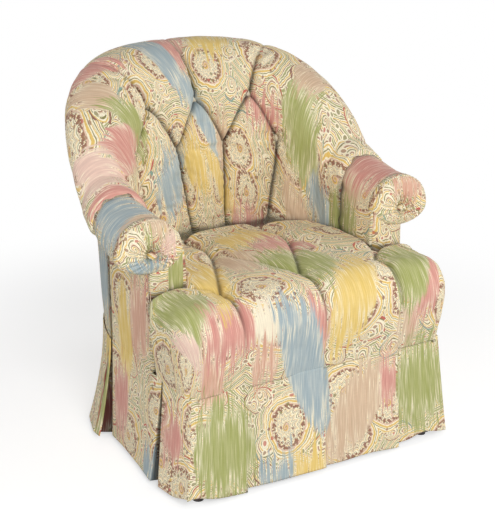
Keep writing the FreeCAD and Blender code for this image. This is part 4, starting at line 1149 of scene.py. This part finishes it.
def print_cloth(name, patches):
    """Print cloth of one cover, with its brushed patches."""
    material, tree = new_material(name)
    cloth = node(tree, "ShaderNodeUVMap", uv_map="cloth").outputs[0]
    colour = node(tree, "ShaderNodeGroup", {"Cloth": cloth}, node_tree=PAISLEY).outputs["Color"]
    for patch in patches:
        colour = brushed(tree, cloth, colour, *patch)
    # The crease attribute carries painted shade for folds, seams, pleats and joints.
    crease = node(tree, "ShaderNodeAttribute", attribute_name="crease").outputs["Fac"]
    feeds = {"Cloth": cloth, "Color": colour, "Threads": THREADS, "Painted Shade": crease}
    weave = node(tree, "ShaderNodeGroup", feeds, node_tree=WEAVE).outputs
    bump = node(tree, "ShaderNodeBump", {"Strength": 0.25, "Distance": 0.0006, "Height": weave["Height"]})
    feed(tree.nodes["Principled BSDF"], {
        "Base Color": weave["Color"], "Roughness": weave["Roughness"], "Normal": bump.outputs["Normal"],
        "Sheen Weight": 0.12, "Sheen Roughness": 0.45, "Specular IOR Level": 0.28,
    })
    return material


def streaked(name, dark, light, scale, roughness, metallic=0.0, bump=0.3, coat=0.0):
    """Wood, yarn, steel or plastic finish on Object coordinates."""
    material, tree = new_material(name)
    where = node(tree, "ShaderNodeTexCoord").outputs["Object"]
    feeds = {"Vector": where, "Dark": tint(*dark), "Light": tint(*light), "Scale": scale}
    grain = node(tree, "ShaderNodeGroup", feeds, node_tree=GRAIN).outputs
    relief = node(tree, "ShaderNodeBump", {"Strength": bump, "Distance": 0.0008, "Height": grain["Height"]})
    feed(tree.nodes["Principled BSDF"], {
        "Base Color": grain["Color"], "Normal": relief.outputs["Normal"], "Metallic": metallic,
        "Roughness": times_plus(grain["Height"], 0.2, roughness - 0.1), "Coat Weight": coat,
    })
    return material


FRAME_FINISHES = {
    "frame_wood": streaked("frame_wood", (176, 138, 94), (214, 180, 132), 70.0, 0.62),
    "leg_wood": streaked("leg_wood", (38, 23, 16), (74, 45, 30), 90.0, 0.36, coat=0.25),
    "steel": streaked("spring_steel", (120, 122, 126), (168, 170, 172), 120.0, 0.38, metallic=1.0, bump=0.1),
    "glide_plastic": streaked("glide_plastic", (40, 36, 33), (54, 49, 45), 160.0, 0.45, bump=0.1),
    "jute": streaked("jute", (150, 118, 78), (196, 164, 118), 260.0, 0.9, bump=0.6),
    "black_cambric": streaked("black_cambric", (26, 26, 27), (46, 46, 47), 300.0, 0.92, bump=0.5),
    "padding": streaked("padding", (222, 212, 190), (240, 232, 214), 60.0, 0.95, bump=0.5),
}

# Brushed patches of each cover: dye, middle along the weft and the warp, half sizes, slant and taper
BACK_PATCHES = [
    ("rose", -250, 8, 44, 58, -0.8),
    ("tan", -334, -20, 34, 74),
    ("green", -320, -150, 38, 104, -0.38),
    ("rose", -402, -92, 42, 106, -0.62),
    ("pink", -468, 22, 42, 66),
    ("rose", -528, -10, 24, 90),
    ("rose", -26, -70, 36, 92, 0.24, 0.6),
    ("blue", -86, -92, 38, 118, -0.05),
    ("blue", 2, -254, 44, 128, -0.72, 0.3),
    ("gold", 84, -52, 58, 50),
    ("rose", 266, -196, 54, 38, 0.3),
    ("tan", 102, -315, 34, 58),
    ("gold", -62, -366, 56, 74, -0.3),
    ("gold", 86, -422, 46, 84, -1),
    ("blue", -200, -372, 80, 66, 0.2, 0.3),
    ("rose", 270, -516, 116, 66),
    ("green", 380, -146, 62, 114, -0.1, -0.1),
    ("tan", 352, -22, 36, 44),
    ("tan", 384, -350, 38, 70, -0.2),
    ("blue", 466, -222, 56, 62, 0.2),
    ("green", 532, -190, 34, 52),
]
SEAT_PATCHES = [
    ("coral", -292, -500, 42, 84, -0.1),
    ("pink", -352, -400, 32, 72, -0.3),
    ("green", -312, -312, 62, 116, -0.2, 0.2),
    ("rose", -240, -404, 72, 72),
    ("cream", -146, -412, 36, 56),
    ("coral", -152, -496, 34, 50),
    ("rose", -22, -456, 34, 82, -0.15, 0.4),
    ("blue", -44, -535, 52, 166, -0.29, 0.3),
    ("gold", -206, -240, 42, 116, 0.25, 0.4),
    ("tan", -80, -155, 60, 72),
    ("gold", 6, -26, 78, 58),
    ("rose", 52, -104, 74, 56),
    ("green", 24, -240, 80, 102, -0.2, 0.2),
    ("gold", 80, -385, 58, 118, 0.38),
    ("tan", 222, -488, 32, 62),
    ("rose", 274, -392, 36, 86, 0.25),
    ("green", 246, -336, 54, 108, 0.25, 0.3),
    ("green", -254, -668, 80, 116, -0.1),
    ("blue", -118, -754, 50, 40),
    ("gold", -40, -756, 44, 52),
    ("tan", 86, -664, 66, 114, 0.5, 0.2),
    ("rose", 172, -606, 24, 66),
    ("green", 276, -638, 80, 112),
]
SIDE_PATCHES = [
    ("gold", 60, 280, 36, 118),
    ("coral", 134, 352, 44, 92),
    ("rose", 44, 122, 40, 84),
    ("blue", 210, 34, 26, 44),
    ("rose", 306, 140, 40, 52),
    ("red", -50, 60, 46, 86),
    ("blue", 464, 376, 52, 96),
    ("rose", 250, 520, 72, 90, 0.3),
    ("green", -20, 600, 66, 112, -0.2),
    ("tan", -230, 470, 64, 90, 0.2),
    ("gold", -420, 330, 54, 74, -0.2),
    ("tan", -260, 150, 66, 90, -0.2),
    ("gold", 534, 214, 34, 56),
    ("green", 536, 96, 26, 108, -0.1),
]
LEFT_ARM_PATCHES = [
    ("blue", 112, 372, 66, 82),
    ("tan", 165, 330, 28, 44),
    ("pink", 46, 30, 20, 40),
    ("tan", 20, 80, 46, 26),
    ("green", -12, 46, 11, 34),
    ("blue", -14, -42, 62, 36),
    ("green", -266, 464, 22, 80),
]
RIGHT_ARM_PATCHES = [
    ("tan", -82, 250, 50, 74),
    ("green", -74, 170, 50, 48),
    ("rose", -110, 318, 70, 66),
    ("coral", 18, 64, 54, 32),
]

back_cloth = print_cloth("print_cloth_back", BACK_PATCHES)
seat_cloth = print_cloth("print_cloth_seat", SEAT_PATCHES)
arm_cloths = {
    "left": print_cloth("print_cloth_left_arm", LEFT_ARM_PATCHES),
    "right": print_cloth("print_cloth_right_arm", RIGHT_ARM_PATCHES),
}
side_cloth = print_cloth("print_cloth_side", SIDE_PATCHES)
button_cloth = streaked("button_cloth", (206, 190, 158), (240, 230, 206), 420.0, 0.5, bump=0.4)


def settle(piece, material, *nodes):
    if material:
        piece.data.materials.append(material)
    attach(piece, "root")
    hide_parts(*nodes)
    return piece


# Covers in place

inside_back, back_seats = build_inside_back()
settle(inside_back, back_cloth, "inside_back")

seat, seat_seats = build_seat()
settle(seat, seat_cloth, "seat_cover")

for side, word in ((-1.0, "left"), (1.0, "right")):
    cloth = arm_cloths[word]
    arm = settle(build_arm(side, word + "_arm_roll"), cloth, word + "_arm_cover")
    gather = settle(build_gather(side, word + "_arm_end"), cloth, word + "_arm_gather")
    facing = settle(build_facing(side, word + "_arm_front"), cloth, word + "_arm_facing")
    panel = settle(build_outside_arm(side, word + "_outside_panel"), side_cloth, word + "_outside_arm")
    hem, waist, pleats = side_skirt_keys(side)
    skirt, cut = build_skirt(
        word + "_skirt_cloth", hem, waist, pleats, wave=2.5, seed=80 + int(side),
        weft=lambda path, _: path[:, 1] * side)
    settle(skirt, side_cloth, word + "_skirt")

outside_back = settle(build_outside_back(), side_cloth, "outside_back")

hem, waist, pleats = front_skirt_keys()
front_skirt, cut = build_skirt(
    "front_skirt_cloth", hem, waist, pleats, wave=1.6, seed=90,
    weft=lambda path, _: path[:, 0], top=-WAIST - SEAT_CLOTH_FRONT)
settle(front_skirt, seat_cloth, "front_skirt")

hem, waist, pleats = back_skirt_keys()
back_skirt, cut = build_skirt(
    "back_skirt_cloth", hem, waist, pleats, wave=5.0, seed=95,
    weft=lambda _, length: length - length[-1] / 2, sweep=1.7)
settle(back_skirt, side_cloth, "back_skirt")

domes = button_tree(button_cloth)
back_buttons = build_buttons("back_buttons_covered", back_seats, domes, BACK_BUTTON_LIFT)
settle(back_buttons, None, "back_buttons")
seat_buttons = build_buttons("seat_buttons_covered", seat_seats, domes, SEAT_BUTTON_LIFT)
settle(seat_buttons, None, "seat_buttons")
settle(build_rosette(-1.0, "arm_rosettes_knotted"), arm_cloths["left"], "arm_rosettes")
settle(build_rosette(1.0, "arm_rosettes_knotted_right"), arm_cloths["right"], "arm_rosettes")

slots = {entry["node"]: entry["material_slot"] for entry in frame["record"]["subparts"]}
for name, part in frame["nodes"].items():
    part.data.materials.clear()
    part.data.materials.append(FRAME_FINISHES.get(slots[name], FRAME_FINISHES["padding"]))


# Floor, light and camera

WHITE = (1.0, 1.0, 1.0, 1.0)
FLOOR_GREY = (0.6, 0.6, 0.6, 1.0)
FLOOR_HALF = 14.0
FLOOR_GLOW = 0.58
FLOOR_FADE = (0.75, 1.5)
SKY_LIGHT = 0.28
LENS = 94.9
CAMERA_PLACE = (-1.466, -2.5005, 1.433)
CAMERA_TARGET = (0.0097, -0.0232, 0.3763)


def seen_directly(tree):
    """1 for rays from the camera, and for those by way of a mirror or glass; 0 for the rest."""
    rays = node(tree, "ShaderNodeLightPath").outputs
    shown = calc("MAXIMUM", rays["Is Camera Ray"], rays["Is Glossy Ray"])
    return calc("MAXIMUM", shown, rays["Is Transmission Ray"])


def floor_material():
    """Matt grey that takes the shadow, lit up and fading to plain white further out."""
    material, tree = new_material("pale_floor")
    tree.nodes.clear()
    where = node(tree, "ShaderNodeTexCoord").outputs["Object"]
    far = node(tree, "ShaderNodeVectorMath", {0: where}, operation="LENGTH").outputs["Value"]
    shown = seen_directly(tree)
    matt = node(tree, "ShaderNodeBsdfDiffuse", {"Color": FLOOR_GREY}).outputs[0]
    feeds = {"Color": WHITE, "Strength": times(shown, FLOOR_GLOW)}
    glow = node(tree, "ShaderNodeEmission", feeds).outputs[0]
    near = node(tree, "ShaderNodeAddShader", {0: matt, 1: glow}).outputs[0]
    white = node(tree, "ShaderNodeEmission", {"Color": WHITE, "Strength": 1.0}).outputs[0]
    edge = times(span(far, *FLOOR_FADE), shown)
    mixed = node(tree, "ShaderNodeMixShader", {0: edge, 1: near, 2: white}).outputs[0]
    node(tree, "ShaderNodeOutputMaterial", {"Surface": mixed})
    return material


floor_mesh = bpy.data.meshes.new("pale_floor")
floor_corners = [(x * FLOOR_HALF, y * FLOOR_HALF, 0.0) for x, y in ((-1, -1), (1, -1), (1, 1), (-1, 1))]
floor_mesh.from_pydata(floor_corners, [], [(0, 1, 2, 3)])
floor_mesh.materials.append(floor_material())
floor = in_scene("pale_floor", floor_mesh)

world = bpy.data.worlds.new("studio")
world.use_nodes = True
bpy.context.scene.world = world
sky = world.node_tree
strength = times_plus(seen_directly(sky), 1.0 - SKY_LIGHT, SKY_LIGHT)
feed(sky.nodes["Background"], {"Color": WHITE, "Strength": strength})


def aim(thing, place, target):
    thing.location = place
    thing.rotation_euler = (Vector(target) - Vector(place)).to_track_quat("-Z", "Y").to_euler()


def soft_light(name, place, target, size, power):
    lamp = bpy.data.lights.new(name, "AREA")
    lamp.shape = "DISK"
    lamp.size = size
    lamp.energy = power
    aim(in_scene(name, lamp), place, target)


soft_light("key_light", (-0.8, -3.0, 2.1), (0.0, 0.0, 0.5), size=1.5, power=66.0)
soft_light("fill_light", (2.8, -1.9, 1.3), (0.0, 0.0, 0.45), size=1.8, power=43.0)
soft_light("side_light", (-3.0, -0.4, 1.2), (0.0, 0.0, 0.4), size=1.6, power=24.0)

camera_data = bpy.data.cameras.new("photo_camera")
camera_data.sensor_fit = "HORIZONTAL"
camera_data.sensor_width = 36.0
camera_data.lens = LENS
camera = in_scene("photo_camera", camera_data)
aim(camera, CAMERA_PLACE, CAMERA_TARGET)
bpy.context.scene.camera = camera
bpy.context.scene.view_settings.view_transform = "Standard"
